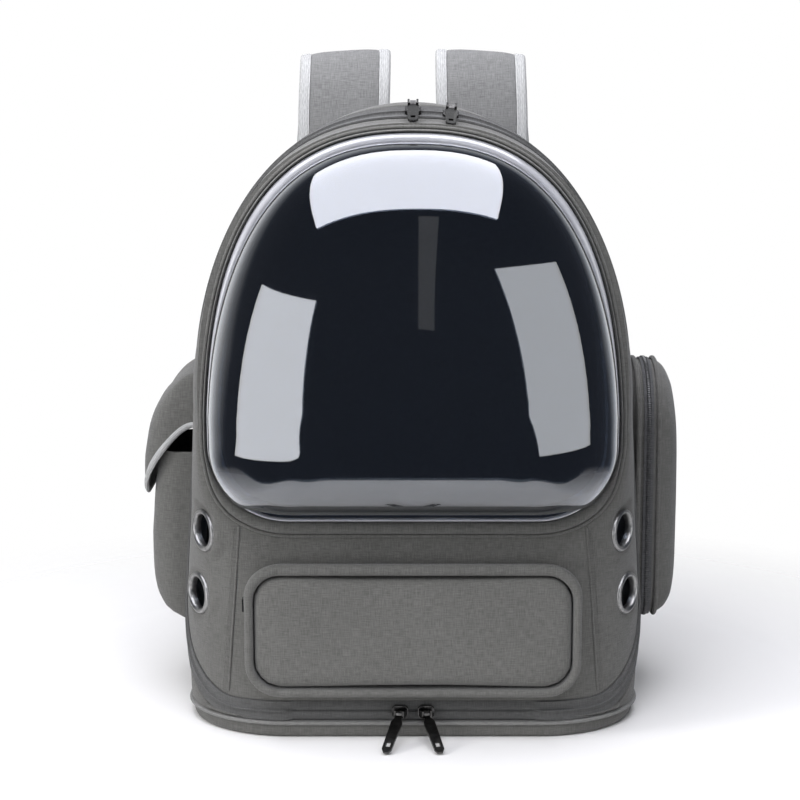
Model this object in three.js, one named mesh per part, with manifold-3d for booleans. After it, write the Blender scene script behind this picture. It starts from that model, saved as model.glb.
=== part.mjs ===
// Bubble pet carrier backpack: a fabric carrier with a smoked clear dome in its front,
// a zip all round the front shell, pockets on the front and both sides, and shoulder straps.
// Millimetres, +Z up, the dome faces -Y, the origin is the middle of the base's underside.
import * as THREE from 'three';
import { mergeVertices } from 'three/addons/utils/BufferGeometryUtils.js';
import Module from 'manifold-3d';

const wasm = await Module();
wasm.setup();

// Running gap between pieces that touch
const GAP = 0.3;

// Carrier body
const FRONT_Y = -112;
const BODY_DEPTH = 212;
const BODY_HALF_WIDTH = 153;
const ARCH_CENTRE_Z = 229;
const ARCH_RISE = 206.5;
const ARCH_POWER = 2.07;
const BACK_DROP = 7;
const WALL = 2.5;
const CORNER_DEPTH = 67;
const FRONT_EDGE_MARGIN = 1.2;

// Clear dome and its border
const DOME_MARGIN = 12.6;
const DOME_BOTTOM_Z = 154;
const DOME_RISE = 189.4;
const DOME_POWER = 2.4;
const DOME_LEAN = 0.018;
const DOME_CORNER_RADIUS = 55;
const DOME_DEPTH = 60;
const DOME_FULLNESS = 3.2;
const DOME_WALL = 2.5;
const DOME_FLANGE_LAP = 5;
const BORDER_TOP_WIDTH = 1.6;
const BORDER_BOTTOM_WIDTH = 8;
const BORDER_HEIGHT = 6;
const DOME_PIPING = 2.4;

// Zip round the front shell
const ZIP_WIDTH = 14;
const ZIP_RECESS = 0.6;
const ZIP_TAPE = 1.6;
const ARCH_PIPING_WIDTH = 4;
const ARCH_PIPING_PROUD = 3;
const BASE_PIPING_Z = 10;
const BASE_PIPING_WIDTH = 3;
const BASE_PIPING_PROUD = 2;

// Front pocket
const POCKET_MARGIN = 44;
const POCKET_BOTTOM_Z = 39.5;
const POCKET_TOP_Z = 118.5;
const POCKET_CORNER = 18;
const POCKET_DEPTH = 15;
const POCKET_CROWN = 2.5;
const POCKET_WALL = 2;
const WELT_WIDTH = 6;
const POCKET_SLIDER = { width: 4, height: 9, depth: 3, z: 95 };

// Eyelets
const EYELET_OUTER_RADIUS = 15;
const EYELET_HOLE_RADIUS = 11;
const EYELET_BARREL = 1.2;
const EYELET_PROUD = 2.2;
const EYELET_ANGLE = 57;
const EYELET_HEIGHTS = { upper: 143, lower: 95 };

// Side pockets
const SIDE_POCKET_LENGTH = 92;
const SIDE_POCKET_STAND = 43;
const SIDE_POCKET_WALL = 2;
const LEFT_POCKET_BOTTOM_Z = 58;
const LEFT_POCKET_TOP_Z = 178;
const LEFT_POCKET_CORNER = 20;
const FLAP_TOP_Z = 243;
const FLAP_SIDE_Z = 204;
const FLAP_TIP_Z = 153;
const FLAP_CLEARANCE = 3;
const FLAP_THICKNESS = 2.2;
const FLAP_BINDING = { height: 5, thickness: 3.4, drop: 1 };
const RIGHT_POCKET_BOTTOM_Z = 56;
const RIGHT_POCKET_TOP_Z = 246;
const RIGHT_POCKET_GUSSET = 26;
const SIDE_PIPING = 2.6;
const SIDE_ZIP_WIDTH = 7;

// Back panel and straps
const BACK_PANEL_MARGIN = 35;
const BACK_PANEL_BOTTOM_Z = 42;
const BACK_PANEL_TOP_Z = 345;
const BACK_PANEL_THICKNESS = 9;
const STRAP_WIDTH = 70;
const STRAP_THICKNESS = 8;
const STRAP_BINDING_WIDTH = 8.5;
const STRAP_CENTRE_INSET = 100;
const WEBBING_WIDTH = 25;
const WEBBING_THICKNESS = 1.8;
const ADJUSTER = { width: 34, length: 24, thickness: 4.5, slot: 5 };
const ANCHOR = { width: 40, height: 27, thickness: 3, inset: 45.4 };

// Sliders and pulls of the main zip
const SLIDER = { length: 11, width: 9, thickness: 3.4 };
const PIN_RADIUS = 0.9;
const EYE_CLEARANCE = 0.4;
const EYE_WALL = 1.2;
const EAR_THICKNESS = 1.4;
const EYE_WIDTH = 4;
const PULL = { length: 36, width: 8, thickness: 1.6 };
const BOTTOM_SLIDER_X = 9;
const BOTTOM_PULL_SPLAY = 18;
const TOP_SLIDER_X = { left: 0, right: 26 };

const BACK_Y = FRONT_Y + BODY_DEPTH;
const CORNER_Y = FRONT_Y + CORNER_DEPTH;
const BODY_HEIGHT = ARCH_CENTRE_Z + ARCH_RISE;
const DOME_HEIGHT = ARCH_CENTRE_Z + DOME_RISE - DOME_BOTTOM_Z;
const DOME_HALF_WIDTH = BODY_HALF_WIDTH - DOME_MARGIN;
const POCKET_HALF_WIDTH = BODY_HALF_WIDTH - POCKET_MARGIN;
const SIDE_POCKET_REACH = BODY_HALF_WIDTH + SIDE_POCKET_STAND;
const RIGHT_POCKET_GUSSET_X = BODY_HALF_WIDTH + RIGHT_POCKET_GUSSET;
const BACK_PANEL_HALF_WIDTH = BODY_HALF_WIDTH - BACK_PANEL_MARGIN;
const STRAP_CENTRE_X = BODY_HALF_WIDTH - STRAP_CENTRE_INSET;

// Side of the body below the arch: height as a share of the arch's centre height,
// main as a share of the body's half width, front as a share of the front panel's
const SIDE_ROWS = [
  { height: 0, main: 1.033, front: 0.6 },
  { height: 0.07, main: 1.05, front: 0.6 },
  { height: 0.3, main: 1.062, front: 0.6 },
  { height: 0.43, main: 1.056, front: 0.635 },
  { height: 0.54, main: 1.046, front: 0.7 },
  { height: 0.63, main: 1.036, front: 0.79 },
  { height: 0.7, main: 1.03, front: 0.892 },
  { height: 0.77, main: 1.023, front: 0.957 },
  { height: 0.87, main: 1.013, front: 0.99 },
];
const ARCH_STEPS = 8;

// Corner rounding in plan: share of the corner's depth behind the front panel
const CORNER_STATIONS = [0, 0.04, 0.17, 0.36, 0.57, 0.78, 1];
// Rounding of the back edge: distance before the back and how far the outline draws in
const BACK_STATIONS = [{ before: 12, inset: 0 }, { before: 4, inset: 3.5 }, { before: 0, inset: 10 }];
// The top steps up from the front gusset to the arch between these shares of the corner's depth
const TOP_STEP = { start: 0.36, end: 0.8 };

// Line of the main zip from the side, as shares of the body's depth and height
const ZIP_LINE = [
  { back: -0.09, up: 0.0435 },
  { back: 0, up: 0.0435 },
  { back: 0.066, up: 0.05 },
  { back: 0.132, up: 0.076 },
  { back: 0.217, up: 0.108 },
  { back: 0.274, up: 0.145 },
  { back: 0.307, up: 0.195 },
  { back: 0.318, up: 0.276 },
  { back: 0.32, up: 0.46 },
  { back: 0.312, up: 0.64 },
  { back: 0.27, up: 0.81 },
  { back: 0.21, up: 0.92 },
  { back: 0.18, up: 0.99 },
  { back: 0.175, up: 1.06 },
];
const ZIP_STEPS = 14;

const lerp = THREE.MathUtils.lerp;
const smoothstep = THREE.MathUtils.smoothstep;
const radians = THREE.MathUtils.degToRad;

// Solids

function mergedByPlace(geometry) {
  const bare = geometry.clone();
  bare.deleteAttribute('normal');
  bare.deleteAttribute('uv');
  return mergeVertices(bare, 1e-4);
}

function solidFrom(geometry) {
  const merged = mergedByPlace(geometry);
  return new wasm.Manifold(new wasm.Mesh({
    numProp: 3,
    vertProperties: new Float32Array(merged.attributes.position.array),
    triVerts: new Uint32Array(merged.index.array),
  }));
}

function geometryFrom(solid) {
  const mesh = solid.getMesh();
  const geometry = new THREE.BufferGeometry();
  geometry.setAttribute('position', new THREE.BufferAttribute(new Float32Array(mesh.vertProperties), 3));
  geometry.setIndex(new THREE.BufferAttribute(new Uint32Array(mesh.triVerts), 1));
  geometry.computeVertexNormals();
  return geometry;
}

function signedVolume(points, index) {
  let volume = 0;
  const cross = new THREE.Vector3();
  for (let i = 0; i < index.length; i += 3) {
    cross.crossVectors(points[index[i + 1]], points[index[i + 2]]);
    volume += points[index[i]].dot(cross) / 6;
  }
  return volume;
}

// Flat cap over one section, seen along the section's own normal
function capTriangles(section) {
  const normal = new THREE.Vector3();
  section.forEach((p, i) => {
    const q = section[(i + 1) % section.length];
    normal.add(new THREE.Vector3().crossVectors(p, q));
  });
  normal.normalize();
  const side = new THREE.Vector3(Math.abs(normal.x) > 0.8 ? 0 : 1, Math.abs(normal.x) > 0.8 ? 1 : 0, 0);
  const across = new THREE.Vector3().crossVectors(normal, side).normalize();
  const along = new THREE.Vector3().crossVectors(across, normal);
  const flat = section.map((p) => new THREE.Vector2(p.dot(along), p.dot(across)));
  return THREE.ShapeUtils.triangulateShape(flat, []);
}

// Skin over a row of sections with equal numbers of points; a closed row meets itself
function loft(sections, closed = false) {
  const count = sections[0].length;
  const points = sections.flat();
  const index = [];
  const spans = closed ? sections.length : sections.length - 1;
  for (let row = 0; row < spans; row += 1) {
    const here = row * count;
    const next = ((row + 1) % sections.length) * count;
    for (let i = 0; i < count; i += 1) {
      const j = (i + 1) % count;
      index.push(here + i, here + j, next + j, here + i, next + j, next + i);
    }
  }
  if (!closed) {
    const last = (sections.length - 1) * count;
    for (const [a, b, c] of capTriangles(sections[0])) index.push(c, b, a);
    for (const [a, b, c] of capTriangles(sections[sections.length - 1])) {
      index.push(last + a, last + b, last + c);
    }
  }
  if (signedVolume(points, index) < 0) index.reverse();
  const geometry = new THREE.BufferGeometry().setFromPoints(points);
  geometry.setIndex(index);
  return geometry;
}

// Prism along X over an outline in the side view, given as [y, z] pairs
function sidePrism(outline, reach) {
  const shape = new THREE.Shape(outline.map(([y, z]) => new THREE.Vector2(y, z)));
  const geometry = new THREE.ExtrudeGeometry(shape, { depth: 2 * reach, bevelEnabled: false });
  const turn = new THREE.Matrix4().makeBasis(
    new THREE.Vector3(0, 1, 0), new THREE.Vector3(0, 0, 1), new THREE.Vector3(1, 0, 0));
  geometry.applyMatrix4(turn);
  geometry.translate(-reach, 0, 0);
  return solidFrom(geometry);
}

function box(width, depth, height, x, y, z) {
  const geometry = new THREE.BoxGeometry(width, depth, height);
  geometry.translate(x, y, z);
  return solidFrom(geometry);
}

// Outlines seen from the front, as {x, z} points that run from the lower right corner up,
// over the top and down to the lower left corner

function mirrored(half) {
  const other = half.slice(0, -1).reverse().map((p) => ({ ...p, x: -p.x }));
  return [...half, ...other];
}

function outwardNormals(outline) {
  return outline.map((p, i) => {
    const before = outline[(i + outline.length - 1) % outline.length];
    const after = outline[(i + 1) % outline.length];
    const a = new THREE.Vector2(p.z - before.z, before.x - p.x).normalize();
    const b = new THREE.Vector2(after.z - p.z, p.x - after.x).normalize();
    const n = a.clone().add(b).normalize();
    return n.multiplyScalar(1 / Math.max(n.dot(a), 0.5));
  });
}

function offsetOutline(outline, distance) {
  const normals = outwardNormals(outline);
  return outline.map((p, i) => {
    const d = typeof distance === 'function' ? distance(p) : distance;
    return { x: p.x + normals[i].x * d, z: p.z + normals[i].y * d };
  });
}

function atDepth(outline, y) {
  return outline.map((p) => new THREE.Vector3(p.x, y, p.z));
}

// Ring round an outline: its profile is a list of [outward, y] pairs
function ring(outline, profile) {
  const rings = profile.map(([outward, y]) => atDepth(offsetOutline(outline, outward), y));
  return loft(outline.map((_, i) => rings.map((points) => points[i])), true);
}

// Dome outline: a straight sill, round lower corners and a full, slightly leaning arch
function domeOutline() {
  const half = [];
  const centreX = DOME_HALF_WIDTH - DOME_CORNER_RADIUS;
  const centreZ = DOME_BOTTOM_Z + DOME_CORNER_RADIUS;
  const cornerSteps = 4;
  for (let i = 0; i <= cornerSteps; i += 1) {
    const angle = radians(-90 + (90 * i) / cornerSteps);
    half.push({
      x: centreX + DOME_CORNER_RADIUS * Math.cos(angle),
      z: centreZ + DOME_CORNER_RADIUS * Math.sin(angle),
    });
  }
  for (let i = 0; i <= ARCH_STEPS; i += 1) {
    const angle = radians((90 * i) / ARCH_STEPS);
    const up = Math.sin(angle) ** (2 / DOME_POWER);
    const lean = 1 - DOME_LEAN * 4 * up * (1 - up);
    const across = i === ARCH_STEPS ? 0 : Math.cos(angle) ** (2 / DOME_POWER);
    half.push({ x: DOME_HALF_WIDTH * across * lean, z: ARCH_CENTRE_Z + DOME_RISE * up });
  }
  return mirrored(half);
}

const DOME_OUTLINE = domeOutline();

// The border round the dome is narrow at the top and sides and widens round the sill
const BORDER_WIDENS = { from: 0.17, to: 0.03 };
function borderWidth(z) {
  const share = (z - DOME_BOTTOM_Z) / DOME_HEIGHT;
  const narrow = smoothstep(share, BORDER_WIDENS.to, BORDER_WIDENS.from);
  return lerp(BORDER_BOTTOM_WIDTH, BORDER_TOP_WIDTH, narrow);
}
const BORDER_TOTAL_TOP = BORDER_TOP_WIDTH + DOME_PIPING + 2 * GAP + FRONT_EDGE_MARGIN;

// Body outlines with matching points: the arch behind the zip and the edge of the front panel
function bodyHalves() {
  const frontHalfWidth = DOME_HALF_WIDTH + BORDER_TOTAL_TOP;
  const main = SIDE_ROWS.map((row) => ({
    x: BODY_HALF_WIDTH * row.main, z: ARCH_CENTRE_Z * row.height,
  }));
  const front = SIDE_ROWS.map((row) => ({
    x: frontHalfWidth * row.front, z: ARCH_CENTRE_Z * row.height,
  }));
  for (let i = 0; i <= ARCH_STEPS; i += 1) {
    const angle = radians((90 * i) / ARCH_STEPS);
    const last = i === ARCH_STEPS;
    main.push({
      x: last ? 0 : BODY_HALF_WIDTH * Math.cos(angle) ** (2 / ARCH_POWER),
      z: ARCH_CENTRE_Z + ARCH_RISE * Math.sin(angle) ** (2 / ARCH_POWER),
    });
    front.push({
      x: last ? 0 : frontHalfWidth * Math.cos(angle) ** (2 / DOME_POWER),
      z: ARCH_CENTRE_Z + (DOME_RISE + BORDER_TOTAL_TOP) * Math.sin(angle) ** (2 / DOME_POWER),
    });
  }
  return { main: mirrored(main), front: mirrored(front) };
}

const BODY = bodyHalves();
const LAST = BODY.main.length - 1;
const TOP_BLEND = BODY.front.map((p) => smoothstep(p.z, ARCH_CENTRE_Z * 1.1, ARCH_CENTRE_Z * 1.5));

// Both bottom corners stay on the flat base, pushed out by the offset
function withFlatBase(outline, source, offset, sideways) {
  return outline.map((p, i) => {
    if (i !== 0 && i !== LAST) return p;
    const side = Math.sign(source[i].x);
    return { x: source[i].x + side * sideways, z: -offset };
  });
}

function bodySection(share, y, offset, inset) {
  const grown = withFlatBase(offsetOutline(BODY.main, offset - inset), BODY.main, offset, offset - inset);
  const panel = withFlatBase(BODY.front.map((p, i) => {
    const n = FRONT_NORMALS[i];
    return { x: p.x + n.x * offset * TOP_BLEND[i], z: p.z + n.y * offset * TOP_BLEND[i] };
  }), BODY.front, offset, 0);
  const corner = Math.sqrt(1 - (1 - share) ** 2);
  const top = smoothstep(share, TOP_STEP.start, TOP_STEP.end);
  const drop = BACK_DROP * THREE.MathUtils.clamp((y - CORNER_Y) / (BACK_Y - CORNER_Y), 0, 1);
  return grown.map((p, i) => {
    const k = lerp(corner, top, TOP_BLEND[i]);
    const above = Math.max(0, p.z - ARCH_CENTRE_Z) / ARCH_RISE;
    return new THREE.Vector3(lerp(panel[i].x, p.x, k), y, lerp(panel[i].z, p.z - drop * above, k));
  });
}

const FRONT_NORMALS = outwardNormals(BODY.front);

// Whole outer form of the body, grown or shrunk by an offset
function bodySolid(offset) {
  const depth = CORNER_DEPTH + offset;
  const sections = CORNER_STATIONS.map((share) => (
    bodySection(share, CORNER_Y - depth * (1 - share), offset, 0)));
  for (const { before, inset } of BACK_STATIONS) {
    sections.push(bodySection(1, BACK_Y + offset - before, offset, inset));
  }
  return solidFrom(loft(sections));
}

const OUTER = bodySolid(0);
const CLEAR = bodySolid(GAP);

// Zip line in the side view and regions on either side of it

const FAR = 400;

const zipCurve = new THREE.SplineCurve(ZIP_LINE.map(({ back, up }) => (
  new THREE.Vector2(FRONT_Y + BODY_DEPTH * back, BODY_HEIGHT * up))));

function zipEdge(distance) {
  const edge = [];
  for (let i = 0; i <= ZIP_STEPS; i += 1) {
    const p = zipCurve.getPointAt(i / ZIP_STEPS);
    const t = zipCurve.getTangentAt(i / ZIP_STEPS);
    edge.push([p.x - t.y * distance, p.y + t.x * distance]);
  }
  edge[0][0] = -FAR;
  edge[ZIP_STEPS][1] = 2 * FAR;
  return edge;
}

function aheadOfZip(distance) {
  return sidePrism([...zipEdge(distance), [-FAR, 2 * FAR]], FAR);
}

function zipRegion(from, to) {
  return sidePrism([...zipEdge(from), ...zipEdge(to).reverse()], FAR);
}

function behindZip(distance) {
  return sidePrism([...zipEdge(-distance), [FAR, 2 * FAR], [FAR, -FAR], [-FAR, -FAR]], FAR);
}

// Pieces of the body

function prismThrough(outline, fromY, toY) {
  return solidFrom(loft([atDepth(outline, fromY), atDepth(outline, toY)]));
}

const domeHole = prismThrough(offsetOutline(DOME_OUTLINE, -DOME_FLANGE_LAP),
  FRONT_Y - WALL, FRONT_Y + 3 * WALL);

function surfaceX(z, share) {
  const rows = SIDE_ROWS.map((_, i) => i).concat(SIDE_ROWS.length);
  const upper = Math.max(1, rows.findIndex((i) => BODY.main[i].z >= z));
  const t = (z - BODY.main[upper - 1].z) / (BODY.main[upper].z - BODY.main[upper - 1].z);
  const main = lerp(BODY.main[upper - 1].x, BODY.main[upper].x, t);
  const front = lerp(BODY.front[upper - 1].x, BODY.front[upper].x, t);
  return { main, front, x: lerp(front, main, Math.sqrt(1 - (1 - share) ** 2)) };
}

// Place on the rounded front corner where the surface looks sideways by the eyelet angle
function eyeletPlace(side, z) {
  const { main, front } = surfaceX(z, 1);
  const turn = Math.atan(Math.tan(radians(EYELET_ANGLE)) * (main - front) / CORNER_DEPTH);
  const point = new THREE.Vector3(
    side * lerp(front, main, Math.sin(turn)), CORNER_Y - CORNER_DEPTH * Math.cos(turn), z);
  const angle = radians(EYELET_ANGLE);
  const normal = new THREE.Vector3(side * Math.sin(angle), -Math.cos(angle), 0);
  return { point, normal };
}

// Round solid whose axis runs out of the surface, from one depth below it to one above
function plug(place, radius, below, above, sides) {
  const geometry = new THREE.CylinderGeometry(radius, radius, below + above, sides);
  geometry.translate(0, (above - below) / 2, 0);
  const turn = new THREE.Quaternion().setFromUnitVectors(new THREE.Vector3(0, 1, 0), place.normal);
  geometry.applyQuaternion(turn);
  geometry.translate(place.point.x, place.point.y, place.point.z);
  return solidFrom(geometry);
}

const EYELETS = [];
for (const [sideName, side] of [['left', -1], ['right', 1]]) {
  for (const [rowName, z] of Object.entries(EYELET_HEIGHTS)) {
    EYELETS.push({ name: `eyelet_${sideName}_${rowName}`, place: eyeletPlace(side, z) });
  }
}

const bodyWall = OUTER.subtract(bodySolid(-WALL));

function frontShell() {
  let shell = bodyWall.intersect(aheadOfZip(ZIP_WIDTH / 2)).subtract(domeHole);
  const holeRadius = EYELET_HOLE_RADIUS + EYELET_BARREL + GAP;
  for (const { place } of EYELETS) {
    shell = shell.subtract(plug(place, holeRadius, 4 * WALL, 4 * WALL, 10));
  }
  return shell;
}

function rearShell() {
  return bodyWall.intersect(behindZip(ZIP_WIDTH / 2));
}

function layer(from, to) {
  return bodySolid(to).subtract(bodySolid(from));
}

function zipperTape() {
  const half = ZIP_WIDTH / 2 - GAP;
  return layer(-ZIP_RECESS - ZIP_TAPE, -ZIP_RECESS).intersect(zipRegion(-half, half));
}

function archPiping() {
  const near = ZIP_WIDTH / 2 + GAP;
  const band = layer(GAP, ARCH_PIPING_PROUD).intersect(zipRegion(-near - ARCH_PIPING_WIDTH, -near));
  const low = BASE_PIPING_Z + BASE_PIPING_WIDTH + 2 * ARCH_PIPING_WIDTH;
  return band.intersect(box(FAR * 2, FAR * 2, FAR * 2, 0, 0, low + FAR));
}

function basePiping() {
  return layer(GAP, BASE_PIPING_PROUD)
    .intersect(box(FAR * 2, FAR * 2, BASE_PIPING_WIDTH, 0, 0, BASE_PIPING_Z));
}

function eyelet(place) {
  const washer = plug(place, EYELET_OUTER_RADIUS, WALL, EYELET_PROUD, 14).subtract(CLEAR);
  const barrel = plug(place, EYELET_HOLE_RADIUS + EYELET_BARREL, 2 * WALL, EYELET_PROUD - GAP, 10);
  const hole = plug(place, EYELET_HOLE_RADIUS, 6 * WALL, 6 * WALL, 10);
  return washer.add(barrel).subtract(hole);
}

// Dome

const DOME_CENTRE_Z = DOME_BOTTOM_Z + DOME_HEIGHT * 0.45;
const DOME_SHARES = [1, 0.985, 0.955, 0.9, 0.82, 0.7, 0.52, 0.28];

function domeBulge(outline, depth, fromY) {
  const sections = DOME_SHARES.map((q) => outline.map((p) => {
    const rise = depth * (1 - q ** DOME_FULLNESS) ** (1 / DOME_FULLNESS);
    return new THREE.Vector3(
      p.x * q, FRONT_Y - GAP - rise, DOME_CENTRE_Z + (p.z - DOME_CENTRE_Z) * q);
  }));
  return solidFrom(loft([atDepth(outline, fromY), ...sections]));
}

function dome() {
  const flangeEdge = -0.2;
  const wallEdge = -1.2;
  const flange = solidFrom(loft([
    atDepth(offsetOutline(DOME_OUTLINE, flangeEdge), FRONT_Y - GAP),
    atDepth(offsetOutline(DOME_OUTLINE, flangeEdge), FRONT_Y - GAP - DOME_WALL),
  ]));
  const outer = domeBulge(offsetOutline(DOME_OUTLINE, wallEdge), DOME_DEPTH, FRONT_Y - GAP - 0.01);
  const inner = domeBulge(
    offsetOutline(DOME_OUTLINE, wallEdge - DOME_WALL), DOME_DEPTH - DOME_WALL, FRONT_Y + WALL);
  return flange.add(outer).subtract(inner);
}

function domeBorder() {
  const foot = FRONT_Y - GAP;
  const crown = FRONT_Y - GAP - BORDER_HEIGHT;
  const outer = (p) => GAP + borderWidth(p.z);
  const shoulder = (p) => GAP + borderWidth(p.z) * 0.7;
  return ring(DOME_OUTLINE, [
    [GAP, foot], [GAP, crown + 0.8], [0.9, crown], [shoulder, crown + 0.6],
    [outer, crown + BORDER_HEIGHT * 0.45], [outer, foot],
  ]);
}

function domePiping() {
  const foot = FRONT_Y - GAP;
  const inner = (p) => 2 * GAP + borderWidth(p.z);
  const outer = (p) => inner(p) + DOME_PIPING;
  const middle = (p) => inner(p) + DOME_PIPING / 2;
  return ring(DOME_OUTLINE, [
    [inner, foot], [inner, foot - DOME_PIPING * 0.8], [middle, foot - DOME_PIPING * 1.15],
    [outer, foot - DOME_PIPING * 0.8], [outer, foot],
  ]);
}

// Front pocket

function roundedRectangle(halfWidth, low, high, radius, steps = 3) {
  const corners = [
    [halfWidth - radius, low + radius, -90], [halfWidth - radius, high - radius, 0],
    [-halfWidth + radius, high - radius, 90], [-halfWidth + radius, low + radius, 180],
  ];
  const outline = [];
  for (const [x, z, start] of corners) {
    for (let i = 0; i <= steps; i += 1) {
      const angle = radians(start + (90 * i) / steps);
      outline.push({ x: x + radius * Math.cos(angle), z: z + radius * Math.sin(angle) });
    }
  }
  return outline;
}

const POCKET_OUTLINE = roundedRectangle(
  POCKET_HALF_WIDTH, POCKET_BOTTOM_Z, POCKET_TOP_Z, POCKET_CORNER);
const POCKET_MIDDLE_Z = (POCKET_BOTTOM_Z + POCKET_TOP_Z) / 2;

// Pillow-shaped pocket front: its face rises by the crown towards the middle
function pocketPillow(outline, faceY) {
  const rows = [
    { draw: 0, rise: 0 }, { draw: 1.2, rise: 0.35 }, { draw: 4, rise: 0.55 },
    { draw: 14, rise: 0.85 }, { draw: 30, rise: 1 },
  ];
  const sections = rows.map(({ draw, rise }) => outline.map((p) => new THREE.Vector3(
    p.x * (1 - draw / POCKET_HALF_WIDTH), faceY - POCKET_CROWN * rise,
    POCKET_MIDDLE_Z + (p.z - POCKET_MIDDLE_Z) * (1 - draw / (POCKET_TOP_Z - POCKET_MIDDLE_Z)))));
  return solidFrom(loft([atDepth(outline, FRONT_Y + 4 * POCKET_DEPTH / 3), ...sections]));
}

function frontPocket() {
  const face = FRONT_Y - POCKET_DEPTH;
  const outer = pocketPillow(POCKET_OUTLINE, face).subtract(CLEAR);
  const inner = pocketPillow(offsetOutline(POCKET_OUTLINE, -POCKET_WALL), face + POCKET_WALL);
  return outer.subtract(inner);
}

function frontPocketWelt() {
  const face = FRONT_Y - POCKET_DEPTH;
  const foot = FRONT_Y + POCKET_DEPTH;
  const inner = GAP;
  const outer = GAP + WELT_WIDTH;
  const welt = ring(POCKET_OUTLINE, [
    [inner, foot], [inner, face - 0.4], [inner + WELT_WIDTH * 0.28, face - 1.6],
    [inner + WELT_WIDTH * 0.7, face - 1.4], [outer, face + 1.6], [outer, face + 4.5],
    [inner + WELT_WIDTH * 0.7, face + 7], [inner + WELT_WIDTH * 0.7, foot],
  ]);
  return solidFrom(welt).subtract(CLEAR);
}

function frontPocketSlider() {
  const { width, height, depth, z } = POCKET_SLIDER;
  const x = -POCKET_HALF_WIDTH - GAP - WELT_WIDTH * 0.7 - GAP - width / 2;
  return box(width, 6 * depth, height, x, FRONT_Y + 2 * depth, z).subtract(CLEAR);
}

// Side pockets

// The side pockets start behind the zip and its piping, with room for the flap between them
const ZIP_REAR_Y = FRONT_Y + BODY_DEPTH * Math.max(...ZIP_LINE.map(({ back }) => back)) + ZIP_WIDTH / 2;
const SIDE_POCKET_FRONT_Y = ZIP_REAR_Y + GAP + ARCH_PIPING_WIDTH + GAP
  + FLAP_CLEARANCE + (FLAP_BINDING.thickness + FLAP_THICKNESS) / 2;
const SIDE_POCKET_BACK_Y = SIDE_POCKET_FRONT_Y + SIDE_POCKET_LENGTH;
const SIDE_POCKET_MIDDLE_Y = (SIDE_POCKET_FRONT_Y + SIDE_POCKET_BACK_Y) / 2;
const POCKET_ROOT = 30;

// Plan of the left pouch: out from the body, round the front corner, along and back
function pouchPlan(reach, grow, radius, steps) {
  const front = SIDE_POCKET_FRONT_Y - grow;
  const back = SIDE_POCKET_BACK_Y + grow;
  const outX = reach + grow;
  const plan = [];
  for (let i = 0; i <= steps; i += 1) {
    const angle = radians((90 * i) / steps);
    plan.push([outX - radius + radius * Math.sin(angle), front + radius - radius * Math.cos(angle)]);
  }
  for (let i = 0; i <= steps; i += 1) {
    const angle = radians((90 * i) / steps);
    plan.push([outX - radius + radius * Math.cos(angle), back - radius + radius * Math.sin(angle)]);
  }
  return plan;
}

// Rows of the pouch from its bottom to its mouth: up as a share of its height, out as a
// share of how far it stands out from the body
const POUCH_ROWS = [
  { up: 0, out: 0.36 }, { up: 0.08, out: 0.68 }, { up: 0.22, out: 0.93 },
  { up: 0.45, out: 1 }, { up: 0.75, out: 0.97 }, { up: 1, out: 0.87 },
];

function pouchSolid(grow, openTop) {
  const height = LEFT_POCKET_TOP_Z - LEFT_POCKET_BOTTOM_Z;
  const sections = POUCH_ROWS.map(({ up, out }, row) => {
    const reach = BODY_HALF_WIDTH + SIDE_POCKET_STAND * out;
    const lift = row === 0 ? -grow : 0;
    const spare = row === POUCH_ROWS.length - 1 ? openTop : 0;
    const z = LEFT_POCKET_BOTTOM_Z + height * up + lift + spare;
    const radius = Math.min(LEFT_POCKET_CORNER, SIDE_POCKET_STAND * out);
    const plan = pouchPlan(reach, grow, radius + grow, 4);
    const inX = BODY_HALF_WIDTH - POCKET_ROOT;
    const closed = [[inX, plan[0][1]], ...plan, [inX, plan[plan.length - 1][1]]];
    return closed.map(([x, y]) => new THREE.Vector3(-x, y, z));
  });
  return solidFrom(loft(sections));
}

function leftPocket() {
  return pouchSolid(0, 0).subtract(pouchSolid(-SIDE_POCKET_WALL, LEFT_POCKET_CORNER)).subtract(CLEAR);
}

// Hood-shaped flap: its lower edge follows the pouch's plan, its top lies along the body
const FLAP_ACROSS = 12;
const FLAP_UP = 4;

// Place along the flap's plan, by share of its length, with the direction out of the pouch
function flapPlan(s) {
  const bodyX = BODY_HALF_WIDTH - 2 * FLAP_THICKNESS;
  const grow = FLAP_CLEARANCE + FLAP_THICKNESS;
  const plan = [[bodyX, SIDE_POCKET_FRONT_Y - grow],
    ...pouchPlan(SIDE_POCKET_REACH, grow, LEFT_POCKET_CORNER, 4), [bodyX, SIDE_POCKET_BACK_Y + grow]];
  const places = plan.map(([x, y]) => new THREE.Vector2(x, y));
  const lengths = [0];
  for (let i = 1; i < places.length; i += 1) {
    lengths.push(lengths[i - 1] + places[i].distanceTo(places[i - 1]));
  }
  const target = s * lengths[lengths.length - 1];
  const i = Math.max(1, lengths.findIndex((length) => length >= target - 1e-9));
  const t = (target - lengths[i - 1]) / (lengths[i] - lengths[i - 1]);
  const place = places[i - 1].clone().lerp(places[i], t);
  const turn = smoothstep(s, 0.18, 0.4) + smoothstep(s, 0.6, 0.82);
  const angle = radians(-90 + 90 * turn);
  return { place, out: new THREE.Vector2(Math.cos(angle), Math.sin(angle)), bodyX };
}

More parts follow.
